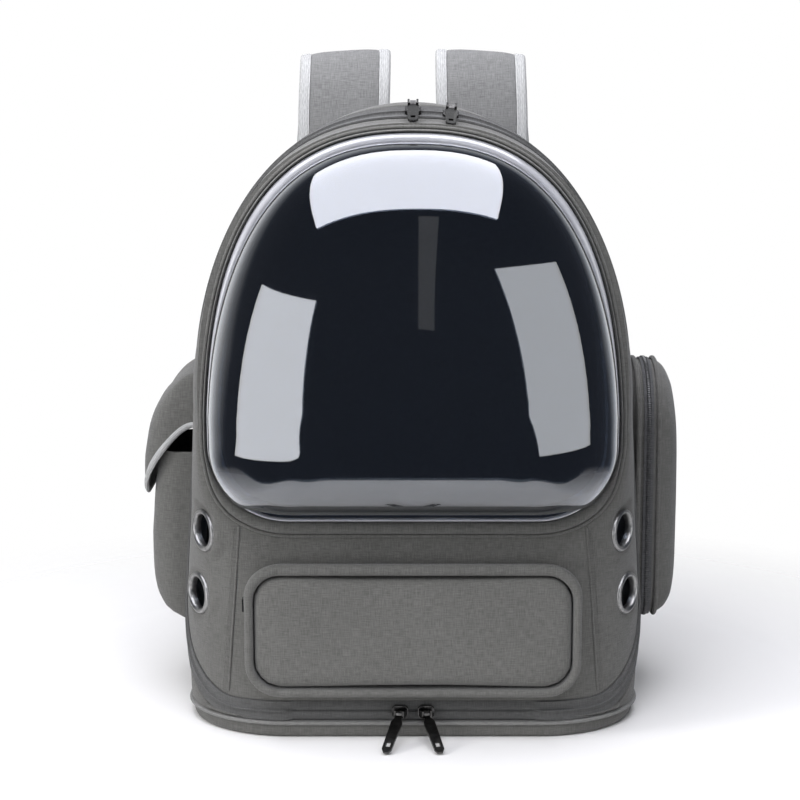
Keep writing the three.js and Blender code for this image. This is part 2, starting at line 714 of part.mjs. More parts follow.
function flapPlace(s, v, inward) {
  const { place, out, bodyX } = flapPlan(s);
  const x = place.x - out.x * inward;
  const y = place.y - out.y * inward;
  const lowZ = lerp(FLAP_SIDE_Z, FLAP_TIP_Z, smoothstep(1 - Math.abs(2 * s - 1), 0, 0.75));
  const angle = radians(90 * v);
  const toBody = 1 - Math.cos(angle);
  const topY = lerp(y, SIDE_POCKET_MIDDLE_Y, 0.12);
  return new THREE.Vector3(
    -lerp(x, bodyX, toBody), lerp(y, topY, toBody),
    lowZ + (FLAP_TOP_Z - inward - lowZ) * Math.sin(angle));
}

function leftFlap() {
  const sections = [];
  for (let i = 0; i <= FLAP_ACROSS; i += 1) {
    const s = i / FLAP_ACROSS;
    const section = [];
    for (let j = 0; j <= FLAP_UP; j += 1) section.push(flapPlace(s, j / FLAP_UP, 0));
    for (let j = FLAP_UP; j >= 0; j -= 1) section.push(flapPlace(s, j / FLAP_UP, FLAP_THICKNESS));
    sections.push(section);
  }
  return solidFrom(loft(sections)).subtract(CLEAR);
}

function leftFlapBinding() {
  const { height, thickness, drop } = FLAP_BINDING;
  const spare = (thickness - FLAP_THICKNESS) / 2;
  const sections = [];
  for (let i = 0; i <= FLAP_ACROSS; i += 1) {
    const outer = flapPlace(i / FLAP_ACROSS, 0, -spare);
    const inner = flapPlace(i / FLAP_ACROSS, 0, FLAP_THICKNESS + spare);
    const top = outer.z - drop;
    sections.push([
      new THREE.Vector3(outer.x, outer.y, top), new THREE.Vector3(inner.x, inner.y, top),
      new THREE.Vector3(inner.x, inner.y, top - height * 0.8),
      new THREE.Vector3((outer.x + inner.x) / 2, (outer.y + inner.y) / 2, top - height),
      new THREE.Vector3(outer.x, outer.y, top - height * 0.8),
    ]);
  }
  return solidFrom(loft(sections)).subtract(CLEAR);
}

// Right pocket outline from the side, as {y, z}: straight foot, round corners, arched top
function rightPocketOutline(steps) {
  const low = RIGHT_POCKET_BOTTOM_Z;
  const high = RIGHT_POCKET_TOP_Z;
  const topRadius = SIDE_POCKET_LENGTH * 0.47;
  const footRadius = SIDE_POCKET_LENGTH * 0.22;
  const half = SIDE_POCKET_LENGTH / 2;
  const corners = [
    [half - footRadius, low + footRadius, footRadius, -90],
    [half - topRadius, high - topRadius, topRadius, 0],
    [-half + topRadius, high - topRadius, topRadius, 90],
    [-half + footRadius, low + footRadius, footRadius, 180],
  ];
  const outline = [];
  for (const [y, z, radius, start] of corners) {
    for (let i = 0; i <= steps; i += 1) {
      const angle = radians(start + (90 * i) / steps);
      outline.push({ x: y + radius * Math.cos(angle), z: z + radius * Math.sin(angle) });
    }
  }
  return outline;
}

const RIGHT_OUTLINE = rightPocketOutline(4);
const RIGHT_CENTRE_Z = lerp(RIGHT_POCKET_BOTTOM_Z, RIGHT_POCKET_TOP_Z, 0.42);

function rightSection(outline, x, scale) {
  return outline.map((p) => new THREE.Vector3(
    x, SIDE_POCKET_MIDDLE_Y + p.x * scale, RIGHT_CENTRE_Z + (p.z - RIGHT_CENTRE_Z) * scale));
}

// Outer face of the right pocket: out as a share of its bulge, scale of the outline
const RIGHT_ROWS = [
  { out: 0, scale: 1 }, { out: 0.42, scale: 0.955 }, { out: 0.74, scale: 0.86 },
  { out: 0.93, scale: 0.7 }, { out: 1, scale: 0.45 },
];

function rightPillow(outline, shrink) {
  const bulge = SIDE_POCKET_STAND - RIGHT_POCKET_GUSSET;
  const sections = RIGHT_ROWS.map(({ out, scale }) => (
    rightSection(outline, RIGHT_POCKET_GUSSET_X - shrink + bulge * out, scale)));
  return solidFrom(loft([rightSection(outline, BODY_HALF_WIDTH - POCKET_ROOT, 1), ...sections]));
}

function rightPocket() {
  const inner = rightPillow(offsetOutline(RIGHT_OUTLINE, -SIDE_POCKET_WALL), SIDE_POCKET_WALL);
  return rightPillow(RIGHT_OUTLINE, 0).subtract(inner).subtract(CLEAR);
}

function rightBand(fromX, toX, thickness, round) {
  const near = offsetOutline(RIGHT_OUTLINE, GAP);
  const far = offsetOutline(RIGHT_OUTLINE, GAP + thickness);
  const lip = offsetOutline(RIGHT_OUTLINE, GAP + thickness * (1 - round));
  const third = (toX - fromX) / 3;
  const rings = [
    [near, fromX], [lip, fromX], [far, fromX + third], [far, toX - third], [lip, toX], [near, toX],
  ].map(([outline, x]) => rightSection(outline, x, 1));
  return solidFrom(loft(RIGHT_OUTLINE.map((_, i) => rings.map((points) => points[i])), true));
}

function rightPocketPiping() {
  return rightBand(RIGHT_POCKET_GUSSET_X - SIDE_PIPING, RIGHT_POCKET_GUSSET_X, SIDE_PIPING, 0.4);
}

const RIGHT_SEAM_X = BODY_HALF_WIDTH + RIGHT_POCKET_GUSSET * 0.44;

function rightPocketSeam() {
  return rightBand(RIGHT_SEAM_X - SIDE_PIPING * 1.5, RIGHT_SEAM_X, SIDE_PIPING, 0.4).subtract(CLEAR);
}

const RIGHT_ZIP_X = (RIGHT_SEAM_X + RIGHT_POCKET_GUSSET_X - SIDE_PIPING) / 2;
const RIGHT_ZIP_LOW_Z = RIGHT_POCKET_BOTTOM_Z + SIDE_POCKET_LENGTH * 0.25;

function rightPocketZip() {
  const band = rightBand(RIGHT_ZIP_X - SIDE_ZIP_WIDTH / 2, RIGHT_ZIP_X + SIDE_ZIP_WIDTH / 2, 1.2, 0.5);
  return band.intersect(box(FAR, FAR, FAR, FAR / 2, 0, RIGHT_ZIP_LOW_Z + FAR / 2));
}

function rightPocketSlider() {
  const { length, width, thickness } = SLIDER;
  const y = SIDE_POCKET_BACK_Y + GAP + 1.2 + GAP + thickness / 2;
  return box(width * 0.7, thickness, length, RIGHT_ZIP_X, y, RIGHT_ZIP_LOW_Z + length);
}

// Back panel

const BACK_PANEL_RADIUS = 34;

function backPanel() {
  const outline = roundedRectangle(
    BACK_PANEL_HALF_WIDTH, BACK_PANEL_BOTTOM_Z, BACK_PANEL_TOP_Z, BACK_PANEL_RADIUS, 5);
  const rows = [
    { draw: 0, rise: 0 }, { draw: 0, rise: 0.45 }, { draw: 2.5, rise: 0.8 }, { draw: 9, rise: 1 },
  ];
  return solidFrom(loft(rows.map(({ draw, rise }) => (
    atDepth(offsetOutline(outline, -draw), BACK_Y + GAP + BACK_PANEL_THICKNESS * rise)))));
}

// Shoulder straps

// Middle of the strap from the side and above: back from the back wall and out from its
// first place as shares of the strap's width, height as a share of the body's height
const STRAP_ROUTE = [
  { back: 0, up: 0.822, out: 0 },
  { back: 0, up: 0.9, out: 0 },
  { back: 0.04, up: 0.965, out: 0 },
  { back: 0.17, up: 1.032, out: -0.01 },
  { back: 0.44, up: 1.072, out: -0.01 },
  { back: 0.76, up: 1.037, out: 0.01 },
  { back: 0.98, up: 0.95, out: 0.05 },
  { back: 1.09, up: 0.84, out: 0.12 },
  { back: 1.1, up: 0.72, out: 0.22 },
  { back: 1.04, up: 0.62, out: 0.32 },
  { back: 0.97, up: 0.55, out: 0.38 },
];
const WEBBING_ROUTE = [
  { back: 0.78, up: 0.4, out: 0.51 },
  { back: 0.6, up: 0.3, out: 0.6 },
  { back: 0.36, up: 0.2, out: 0.69 },
  { back: 0.1, up: 0.125, out: 0.75 },
];
const STRAP_STEPS = 17;
const WEBBING_STEPS = 8;

function routeCurve(route, side, seatY) {
  return new THREE.CatmullRomCurve3(route.map(({ back, up, out }) => new THREE.Vector3(
    side * (STRAP_CENTRE_X + STRAP_WIDTH * out), seatY + STRAP_WIDTH * back, BODY_HEIGHT * up)));
}

// Flat band along a route: its width stays level, its profile is [across, outward] pairs
function bandAlong(curve, profile, steps) {
  const sections = [];
  for (let i = 0; i <= steps; i += 1) {
    const centre = curve.getPointAt(i / steps);
    const tangent = curve.getTangentAt(i / steps);
    const across = new THREE.Vector3(1, 0, 0);
    across.addScaledVector(tangent, -tangent.x).normalize();
    const outward = new THREE.Vector3().crossVectors(across, tangent).normalize();
    sections.push(profile.map(([a, o]) => (
      centre.clone().addScaledVector(across, a).addScaledVector(outward, o))));
  }
  return solidFrom(loft(sections));
}

const STRAP_SEAT_Y = BACK_Y + GAP + STRAP_THICKNESS / 2;

function strapCurve(side) {
  return routeCurve(STRAP_ROUTE, side, STRAP_SEAT_Y);
}

function strapPad(side) {
  const half = STRAP_WIDTH / 2 - STRAP_BINDING_WIDTH - GAP;
  const thick = STRAP_THICKNESS / 2;
  return bandAlong(strapCurve(side), [
    [-half, -thick * 0.7], [-half * 0.8, -thick], [half * 0.8, -thick], [half, -thick * 0.7],
    [half, thick * 0.7], [half * 0.8, thick], [-half * 0.8, thick], [-half, thick * 0.7],
  ], STRAP_STEPS);
}

function strapBinding(side, edge) {
  const inner = edge * (STRAP_WIDTH / 2 - STRAP_BINDING_WIDTH);
  const outer = edge * (STRAP_WIDTH / 2);
  const nearOuter = edge * (STRAP_WIDTH / 2 - STRAP_THICKNESS * 0.2);
  const thick = STRAP_THICKNESS * 0.36;
  return bandAlong(strapCurve(side), [
    [inner, -thick], [nearOuter, -thick], [outer, 0], [nearOuter, thick], [inner, thick],
  ], STRAP_STEPS);
}

// Straight run from the strap's end to the start of the webbing, where the adjuster sits
function adjusterPlace(side) {
  const strap = strapCurve(side);
  const start = strap.getPointAt(1);
  const direction = strap.getTangentAt(1);
  const centre = start.clone().addScaledVector(direction, GAP + ADJUSTER.length / 2);
  return { centre, direction };
}

function placeAlong(geometry, { centre, direction }) {
  const across = new THREE.Vector3(1, 0, 0);
  across.addScaledVector(direction, -direction.x).normalize();
  const outward = new THREE.Vector3().crossVectors(across, direction).normalize();
  geometry.applyMatrix4(new THREE.Matrix4().makeBasis(across, direction, outward));
  geometry.translate(centre.x, centre.y, centre.z);
  return solidFrom(geometry);
}

function adjuster(side) {
  const { width, length, thickness, slot } = ADJUSTER;
  const place = adjusterPlace(side);
  let plate = placeAlong(new THREE.BoxGeometry(width, length, thickness), place);
  for (const end of [-1, 1]) {
    const cut = new THREE.BoxGeometry(WEBBING_WIDTH + 1, slot, 3 * thickness);
    cut.translate(0, end * (length / 2 - slot), 0);
    plate = plate.subtract(placeAlong(cut, place));
  }
  return plate;
}

function webbingCurve(side) {
  const { centre, direction } = adjusterPlace(side);
  const start = centre.clone().addScaledVector(direction, ADJUSTER.length / 2 + GAP);
  const route = routeCurve(WEBBING_ROUTE, side, STRAP_SEAT_Y).points;
  const end = new THREE.Vector3(
    side * ANCHOR_X, BACK_Y + GAP + ANCHOR.thickness + GAP + WEBBING_THICKNESS, ANCHOR_Z);
  return new THREE.CatmullRomCurve3([start, ...route, end]);
}

const ANCHOR_X = BODY_HALF_WIDTH - ANCHOR.inset;
const ANCHOR_Z = BACK_PANEL_BOTTOM_Z - GAP - ANCHOR.height / 2;

function webbing(side) {
  const half = WEBBING_WIDTH / 2;
  const thick = WEBBING_THICKNESS / 2;
  return bandAlong(webbingCurve(side), [
    [-half, -thick], [half, -thick], [half, thick], [-half, thick],
  ], WEBBING_STEPS);
}

// Sewn tab low on the back wall that the webbing ends on
function anchorTab(side) {
  const { width, height, thickness } = ANCHOR;
  const middle = side * ANCHOR_X;
  const low = ANCHOR_Z - height / 2;
  const outline = roundedRectangle(width / 2, low, low + height, 5, 2)
    .map((p) => ({ x: p.x + middle, z: p.z }));
  return prismThrough(outline, BACK_Y + GAP, BACK_Y + GAP + thickness);
}

// Sliders and pulls of the main zip, made with the pin along X, the tape behind at +Y and
// the pull pointing along -Y

const EAR_SPACE = EYE_WIDTH + 2 * GAP;
const EYE_HOLE_RADIUS = PIN_RADIUS + EYE_CLEARANCE;
const EYE_RADIUS = EYE_HOLE_RADIUS + EYE_WALL;
const PIN_STANDOFF = EYE_RADIUS + EYE_WIDTH / 2 * Math.sin(radians(BOTTOM_PULL_SPLAY)) + GAP;

function alongX(radius, length, sides, turn) {
  const geometry = new THREE.CylinderGeometry(radius, radius, length, sides);
  geometry.rotateZ(Math.PI / 2 + turn);
  return solidFrom(geometry);
}

function sliderSolid(splay) {
  const { length, width, thickness } = SLIDER;
  const plate = new THREE.ExtrudeGeometry(new THREE.Shape([
    new THREE.Vector2(-length / 2, -width * 0.3), new THREE.Vector2(-length * 0.3, -width / 2),
    new THREE.Vector2(length * 0.3, -width / 2), new THREE.Vector2(length / 2, -width * 0.3),
    new THREE.Vector2(length / 2, width * 0.3), new THREE.Vector2(length * 0.3, width / 2),
    new THREE.Vector2(-length * 0.3, width / 2), new THREE.Vector2(-length / 2, width * 0.3),
  ]), { depth: thickness, bevelEnabled: false });
  plate.rotateX(Math.PI / 2);
  plate.translate(0, PIN_STANDOFF + thickness, 0);
  let slider = solidFrom(plate).add(alongX(PIN_RADIUS, EAR_SPACE + EAR_THICKNESS, 8, splay));
  const reach = PIN_STANDOFF + thickness / 2 + EYE_RADIUS;
  for (const end of [-1, 1]) {
    const ear = new THREE.BoxGeometry(EAR_THICKNESS, reach, 2 * EYE_RADIUS);
    ear.translate(end * (EAR_SPACE + EAR_THICKNESS) / 2, reach / 2 - EYE_RADIUS, 0);
    ear.rotateZ(splay);
    slider = slider.add(solidFrom(ear));
  }
  return slider;
}

function pullSolid() {
  const { length, width, thickness } = PULL;
  const neck = EYE_RADIUS * 2.2;
  const half = width / 2;
  const shape = new THREE.Shape([
    new THREE.Vector2(-EYE_WIDTH / 2, EYE_RADIUS * 0.6), new THREE.Vector2(-EYE_WIDTH / 2, neck * 0.75),
    new THREE.Vector2(-half, neck * 1.5), new THREE.Vector2(-half * 0.86, length - half * 0.7),
    new THREE.Vector2(-half * 0.45, length), new THREE.Vector2(half * 0.45, length),
    new THREE.Vector2(half * 0.86, length - half * 0.7), new THREE.Vector2(half, neck * 1.5),
    new THREE.Vector2(EYE_WIDTH / 2, neck * 0.75), new THREE.Vector2(EYE_WIDTH / 2, EYE_RADIUS * 0.6),
  ]);
  const slot = new THREE.Path([
    new THREE.Vector2(-half * 0.4, length * 0.86), new THREE.Vector2(-half * 0.4, length * 0.74),
    new THREE.Vector2(half * 0.4, length * 0.74), new THREE.Vector2(half * 0.4, length * 0.86),
  ]);
  shape.holes.push(slot);
  const tab = new THREE.ExtrudeGeometry(shape, { depth: thickness, bevelEnabled: false });
  tab.translate(0, 0, -thickness / 2);
  tab.rotateX(Math.PI);
  return solidFrom(tab).add(alongX(EYE_RADIUS, EYE_WIDTH, 10, 0))
    .subtract(alongX(EYE_HOLE_RADIUS, 2 * EYE_WIDTH, 10, 0));
}

const BOTTOM_ZIP = { y: FRONT_Y, z: BODY_HEIGHT * ZIP_LINE[0].up };
const SLIDER_LIFT = GAP + SLIDER.thickness + PIN_STANDOFF;
const REST_CLEARANCE = 0.4;

// Bottom pulls reach down and forward until their tips are just over the floor
const BOTTOM_PIN = { y: BOTTOM_ZIP.y - SLIDER_LIFT, z: BOTTOM_ZIP.z };
const BOTTOM_PULL_DROP = Math.asin(
  (BOTTOM_PIN.z - REST_CLEARANCE - PULL.thickness * 0.55) / PULL.length);

// Top of the body in the middle, where the zip crosses it
const TOP_ZIP_Y = FRONT_Y + BODY_DEPTH * ZIP_LINE[ZIP_LINE.length - 2].back;

const TOP_ZIP_SHARE = smoothstep((TOP_ZIP_Y - FRONT_Y) / CORNER_DEPTH, TOP_STEP.start, TOP_STEP.end);

// How much the first facet beside the middle of an outline falls away per millimetre across
function topFall(outline) {
  const apex = LAST / 2;
  return (outline[apex].z - outline[apex - 1].z) / outline[apex - 1].x;
}

const PANEL_FALL = topFall(BODY.front);
const ZIP_FALL = lerp(PANEL_FALL, topFall(BODY.main), TOP_ZIP_SHARE);
const PANEL_TOP_Z = ARCH_CENTRE_Z + DOME_RISE + BORDER_TOTAL_TOP;

function topSurface(y) {
  const share = (y - FRONT_Y) / CORNER_DEPTH;
  return lerp(PANEL_TOP_Z, BODY_HEIGHT, smoothstep(share, TOP_STEP.start, TOP_STEP.end));
}

const TOP_SLOPE = Math.atan2(
  topSurface(TOP_ZIP_Y + ZIP_WIDTH / 2) - topSurface(TOP_ZIP_Y - ZIP_WIDTH / 2), ZIP_WIDTH);

// The top pulls lie forward and down on the gusset above the dome
function topZipEnd(x) {
  const pin = {
    x,
    y: TOP_ZIP_Y - SLIDER_LIFT * Math.sin(TOP_SLOPE),
    z: topSurface(TOP_ZIP_Y) - ZIP_FALL * x + SLIDER_LIFT * Math.cos(TOP_SLOPE),
  };
  const height = pin.z - (PANEL_TOP_Z - PANEL_FALL * x) - REST_CLEARANCE - PULL.thickness * 0.55;
  return { pin, roll: x === 0 ? 0 : Math.atan(ZIP_FALL), drop: Math.asin(height / PULL.length) };
}

const group = new THREE.Group();

const LOOKS = {
  fabric: { color: 0x74746f, roughness: 0.95, metalness: 0 },
  trim: { color: 0x8d8d88, roughness: 0.95, metalness: 0 },
  light: { color: 0xc4c4c0, roughness: 0.9, metalness: 0 },
  zip: { color: 0x3f3f40, roughness: 0.7, metalness: 0 },
  smoke: { color: 0x20242c, roughness: 0.05, metalness: 0 },
  steel: { color: 0xb9b9bb, roughness: 0.3, metalness: 1 },
  gunmetal: { color: 0x4a4745, roughness: 0.35, metalness: 1 },
  plastic: { color: 0x2c2c2d, roughness: 0.6, metalness: 0 },
};

function add(name, shape, look, parent = group) {
  const geometry = shape.isBufferGeometry ? shape : geometryFrom(shape);
  const mesh = new THREE.Mesh(geometry, new THREE.MeshStandardMaterial(LOOKS[look]));
  mesh.name = name;
  parent.add(mesh);
  return mesh;
}

add('front_shell', frontShell(), 'fabric');
add('rear_shell', rearShell(), 'fabric');
add('zipper_tape', zipperTape(), 'zip');
add('arch_piping', archPiping(), 'trim');
add('base_piping', basePiping(), 'light');
add('dome', dome(), 'smoke');
add('dome_border', domeBorder(), 'trim');
add('dome_piping', domePiping(), 'trim');
add('front_pocket', frontPocket(), 'fabric');
add('front_pocket_welt', frontPocketWelt(), 'trim');
add('front_pocket_slider', frontPocketSlider(), 'gunmetal');
for (const { name, place } of EYELETS) add(name, eyelet(place), 'steel');
add('left_pocket', leftPocket(), 'fabric');
add('left_flap', leftFlap(), 'fabric');
add('left_flap_binding', leftFlapBinding(), 'light');
add('right_pocket', rightPocket(), 'fabric');
add('right_pocket_piping', rightPocketPiping(), 'trim');
add('right_pocket_seam', rightPocketSeam(), 'trim');
add('right_pocket_zip', rightPocketZip(), 'zip');
add('right_pocket_slider', rightPocketSlider(), 'gunmetal');
add('back_panel', backPanel(), 'fabric');

for (const [sideName, side] of [['left', -1], ['right', 1]]) {
  add(`strap_${sideName}`, strapPad(side), 'fabric');
  add(`strap_${sideName}_inner_binding`, strapBinding(side, -side), 'light');
  add(`strap_${sideName}_outer_binding`, strapBinding(side, side), 'light');
  add(`adjuster_${sideName}`, adjuster(side), 'plastic');
  add(`webbing_${sideName}`, webbing(side), 'zip');
  add(`anchor_${sideName}`, anchorTab(side), 'fabric');
}

// One slider and its pull about a pin: lean turns the slider about X, drop turns the pull,
// roll turns both about Y, and splay turns the hinge sideways on the slider
function addZipEnd(name, pin, { lean, drop, roll = 0, splay = 0 }) {
  const slider = new THREE.Group();
  slider.position.set(pin.x, pin.y, pin.z);
  slider.rotation.set(lean, roll, 0, 'ZYX');
  group.add(slider);
  add(`${name}_slider`, sliderSolid(splay), 'gunmetal', slider);
  const pull = new THREE.Group();
  pull.position.copy(slider.position);
  pull.rotation.set(drop, roll, splay, 'ZYX');
  group.add(pull);
  add(`${name}_pull`, pullSolid(), 'gunmetal', pull);
}

for (const [sideName, side] of [['left', -1], ['right', 1]]) {
  const pin = { x: side * BOTTOM_SLIDER_X, ...BOTTOM_PIN };
  const splay = side * radians(BOTTOM_PULL_SPLAY);
  addZipEnd(`bottom_${sideName}`, pin, { lean: 0, drop: BOTTOM_PULL_DROP, splay });
}
for (const [sideName, x] of Object.entries(TOP_SLIDER_X)) {
  const { pin, roll, drop } = topZipEnd(x);
  addZipEnd(`top_${sideName}`, pin, { lean: TOP_SLOPE - Math.PI / 2, drop, roll });
}

export default group;
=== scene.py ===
# %% [markdown]
# # A bubble pet carrier backpack
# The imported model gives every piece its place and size. This script dresses it: woven
# walls, a smoked clear bubble, piping, zips, padded straps and plated metal. All places
# below are in millimetres, as a pattern cutter would write them, and turn into metres
# only when a mesh is made.

# %% Load the frame
import bisect
import math

import bmesh
import bpy
from mathutils import Matrix, Vector, noise


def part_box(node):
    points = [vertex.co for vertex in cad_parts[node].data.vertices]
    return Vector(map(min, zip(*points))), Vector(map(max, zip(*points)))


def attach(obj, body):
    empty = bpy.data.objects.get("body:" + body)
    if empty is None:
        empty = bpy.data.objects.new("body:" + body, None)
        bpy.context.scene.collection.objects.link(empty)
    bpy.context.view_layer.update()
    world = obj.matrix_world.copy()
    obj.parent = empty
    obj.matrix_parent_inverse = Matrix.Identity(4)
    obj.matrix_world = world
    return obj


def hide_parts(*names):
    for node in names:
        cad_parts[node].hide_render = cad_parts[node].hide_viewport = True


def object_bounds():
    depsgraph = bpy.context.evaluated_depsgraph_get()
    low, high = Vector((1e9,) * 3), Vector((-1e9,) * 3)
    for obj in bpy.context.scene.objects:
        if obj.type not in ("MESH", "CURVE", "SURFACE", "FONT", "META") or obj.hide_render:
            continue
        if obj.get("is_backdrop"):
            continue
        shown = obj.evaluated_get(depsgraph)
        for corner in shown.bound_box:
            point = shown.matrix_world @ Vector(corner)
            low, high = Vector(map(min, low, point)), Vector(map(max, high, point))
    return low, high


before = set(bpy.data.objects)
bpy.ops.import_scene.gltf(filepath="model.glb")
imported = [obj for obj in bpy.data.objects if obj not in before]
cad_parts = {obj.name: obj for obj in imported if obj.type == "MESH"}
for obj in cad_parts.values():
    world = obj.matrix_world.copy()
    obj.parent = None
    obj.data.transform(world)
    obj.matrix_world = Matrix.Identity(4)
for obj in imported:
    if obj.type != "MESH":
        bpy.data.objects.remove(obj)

MM = 0.001
scene = bpy.context.scene
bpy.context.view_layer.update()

# %% [markdown]
# ## The camera
# The photograph was taken from a little above the dome with a long lens, so the lines of
# the bag hardly converge. The small shift puts the bag where it stands in the picture.

# %% Place the camera
camera_data = bpy.data.cameras.new("camera")
camera_data.lens = 92.1
camera_data.sensor_width = 36
camera_data.shift_x = -0.01625
camera_data.shift_y = 0.00625
camera = bpy.data.objects.new("camera", camera_data)
camera.location = (0, -1.4772, 0.4755)
camera.rotation_euler = (math.radians(80), 0, 0)
scene.collection.objects.link(camera)
scene.camera = camera
print("camera at", tuple(camera.location))

# %% [markdown]
# ## The sizes of the bag
# These are the sizes that the model was built to. The walls are drawn again from them
# with many more rows, so that the arch and the corners come out smooth.

# %% Sizes in millimetres
FRONT_Y, BACK_Y = -112, 100
CORNER_DEPTH, CORNER_Y = 67, -45
HALF_WIDTH, ARCH_Z, ARCH_RISE, ARCH_POWER = 153, 229, 206.5, 2.07
BACK_DROP, BACK_ROUND, BACK_INSET = 7, 12, 10
WALL = 2.5
GAP = 0.3
DOME_HALF_WIDTH, DOME_BOTTOM_Z, DOME_RISE, DOME_POWER = 140.4, 154, 189.4, 2.4
DOME_LEAN, DOME_CORNER, DOME_DEPTH, DOME_FULLNESS = 0.018, 55, 60, 3.2
FRONT_HALF_WIDTH, FRONT_RISE = 146.2, 195.2
TOP_STEP = (0.36, 0.8)
SIDE_MAIN = [(0, 1.033), (0.07, 1.05), (0.3, 1.062), (0.43, 1.056), (0.54, 1.046),
             (0.63, 1.036), (0.7, 1.03), (0.77, 1.023), (0.87, 1.013), (1, 1)]
SIDE_FRONT = [(0, 0.6), (0.07, 0.6), (0.3, 0.6), (0.43, 0.635), (0.54, 0.7),
              (0.63, 0.79), (0.7, 0.892), (0.77, 0.957), (0.87, 0.99), (1, 1)]
ZIP_LINE = [(-0.09, 0.0435), (0, 0.0435), (0.066, 0.046), (0.132, 0.066), (0.217, 0.105),
            (0.274, 0.145), (0.307, 0.195), (0.318, 0.276), (0.32, 0.46), (0.312, 0.64),
            (0.27, 0.81), (0.21, 0.92), (0.18, 0.99), (0.175, 1.06)]
BODY_DEPTH, BODY_HEIGHT = 212, 435.5


# %% Helpers for reading tables and curves
def lerp(a, b, t):
    return a + (b - a) * t


def clamp(x, low=0.0, high=1.0):
    return min(max(x, low), high)


def ease(x, low, high):
    t = clamp((x - low) / (high - low))
    return t * t * (3 - 2 * t)


def spline(points, t):
    """Place on a smooth curve through the points, with t from 0 to 1."""
    spans = len(points) - 1
    k = min(int(t * spans), spans - 1)
    f = t * spans - k
    before = points[k - 1] if k else 2 * points[0] - points[1]
    after = points[k + 2] if k + 2 <= spans else 2 * points[-1] - points[-2]
    a, b = points[k], points[k + 1]
    return 0.5 * (2 * a + (b - before) * f + (2 * before - 5 * a + 4 * b - after) * f * f
                  + (3 * a - before - 3 * b + after) * f ** 3)


def read(table, x):
    """Value of a table of (x, value) pairs, smooth between its rows."""
    points = [Vector((px, pv, 0)) for px, pv in table]
    low, high = 0.0, 1.0
    for _ in range(24):
        middle = (low + high) / 2
        if spline(points, middle).x < x:
            low = middle
        else:
            high = middle
    return spline(points, (low + high) / 2).y


def even(points, count):
    """The same line with its points evenly spaced."""
    lengths = [0.0]
    for a, b in zip(points, points[1:]):
        lengths.append(lengths[-1] + (b - a).length)
    out, k = [], 0
    for i in range(count):
        target = lengths[-1] * i / (count - 1)
        while k < len(lengths) - 2 and lengths[k + 1] < target:
            k += 1
        span = max(lengths[k + 1] - lengths[k], 1e-9)
        out.append(points[k].lerp(points[k + 1], clamp((target - lengths[k]) / span)))
    return out


print("the side is", round(HALF_WIDTH * read(SIDE_MAIN, 0.3), 1), "mm out at a third of the height")

# %% [markdown]
# ## Skins, pieces and rolls
# Most of the bag is cloth round a changing outline. A skin starts as one ring of edges,
# and `extrude_edge_only` pulls it from each outline to the next. Its UV map is in metres,
# so a weave or a stitch keeps its real size. A roll is the same skin round a thin line,
# as piping is.


# %% Make skins
def sweep(rings, around=True, wall=0.0):
    """A skin over rings of points in millimetres, with a UV map in metres."""
    bm = bmesh.new()
    across = bm.verts.layers.int.new("across")
    row = bm.verts.layers.int.new("row")
    first = [bm.verts.new(p * MM) for p in rings[0]]
    for i, vert in enumerate(first):
        vert[across] = i
    edges = [bm.edges.new(pair) for pair in zip(first, first[1:])]
    if around:
        edges.append(bm.edges.new((first[-1], first[0])))
    for r, ring in enumerate(rings[1:], 1):
        made = bmesh.ops.extrude_edge_only(bm, edges=edges)["geom"]
        edges = [e for e in made if isinstance(e, bmesh.types.BMEdge)]
        for vert in (v for v in made if isinstance(v, bmesh.types.BMVert)):
            vert.co = ring[vert[across]] * MM
            vert[row] = r
    count = len(rings[0])
    middle = rings[len(rings) // 2]
    u_at, v_at = [0.0], [0.0]
    for i in range(count):
        u_at.append(u_at[-1] + (middle[(i + 1) % count] - middle[i]).length * MM)
    for a, b in zip(rings, rings[1:]):
        v_at.append(v_at[-1] + sum((q - p).length for p, q in zip(a, b)) / count * MM)
    uv = bm.loops.layers.uv.new("UVMap")
    for face in bm.faces:
        places = [loop.vert[across] for loop in face.loops]
        wraps = max(places) - min(places) > 1
        for loop in face.loops:
            place = loop.vert[across]
            loop[uv].uv = (u_at[count if wraps and place == 0 else place], v_at[loop.vert[row]])
    bmesh.ops.remove_doubles(bm, verts=bm.verts, dist=2e-6)
    bmesh.ops.recalc_face_normals(bm, faces=bm.faces)
    return thicken(bm, wall) if wall else bm


def thicken(bm, wall):
    """Give a skin its cloth thickness: a second skin inside it, joined along the open edges."""
    bm.normal_update()
    rim = [e for e in bm.edges if e.is_boundary]
    inside = {v: v.co - v.normal * wall * MM for v in bm.verts}
    skin = bm.verts[:] + bm.edges[:] + bm.faces[:]
    twin = bmesh.ops.duplicate(bm, geom=skin)["vert_map"]
    for vert, place in inside.items():
        twin[vert].co = place
    bmesh.ops.reverse_faces(bm, faces=list({f for v in inside for f in twin[v].link_faces}))
    for edge in rim:
        face = edge.link_faces[0]
        a, b = edge.verts
        step = [loop.vert for loop in face.loops]
        if step[(step.index(a) + 1) % len(step)] is b:
            a, b = b, a
        bm.faces.new((a, b, twin[b], twin[a])).smooth = True
    return bm


def close_ends(bm):
    """Fill every open edge loop with one flat face."""
    bmesh.ops.edgeloop_fill(bm, edges=[e for e in bm.edges if e.is_boundary])
    bmesh.ops.recalc_face_normals(bm, faces=bm.faces)


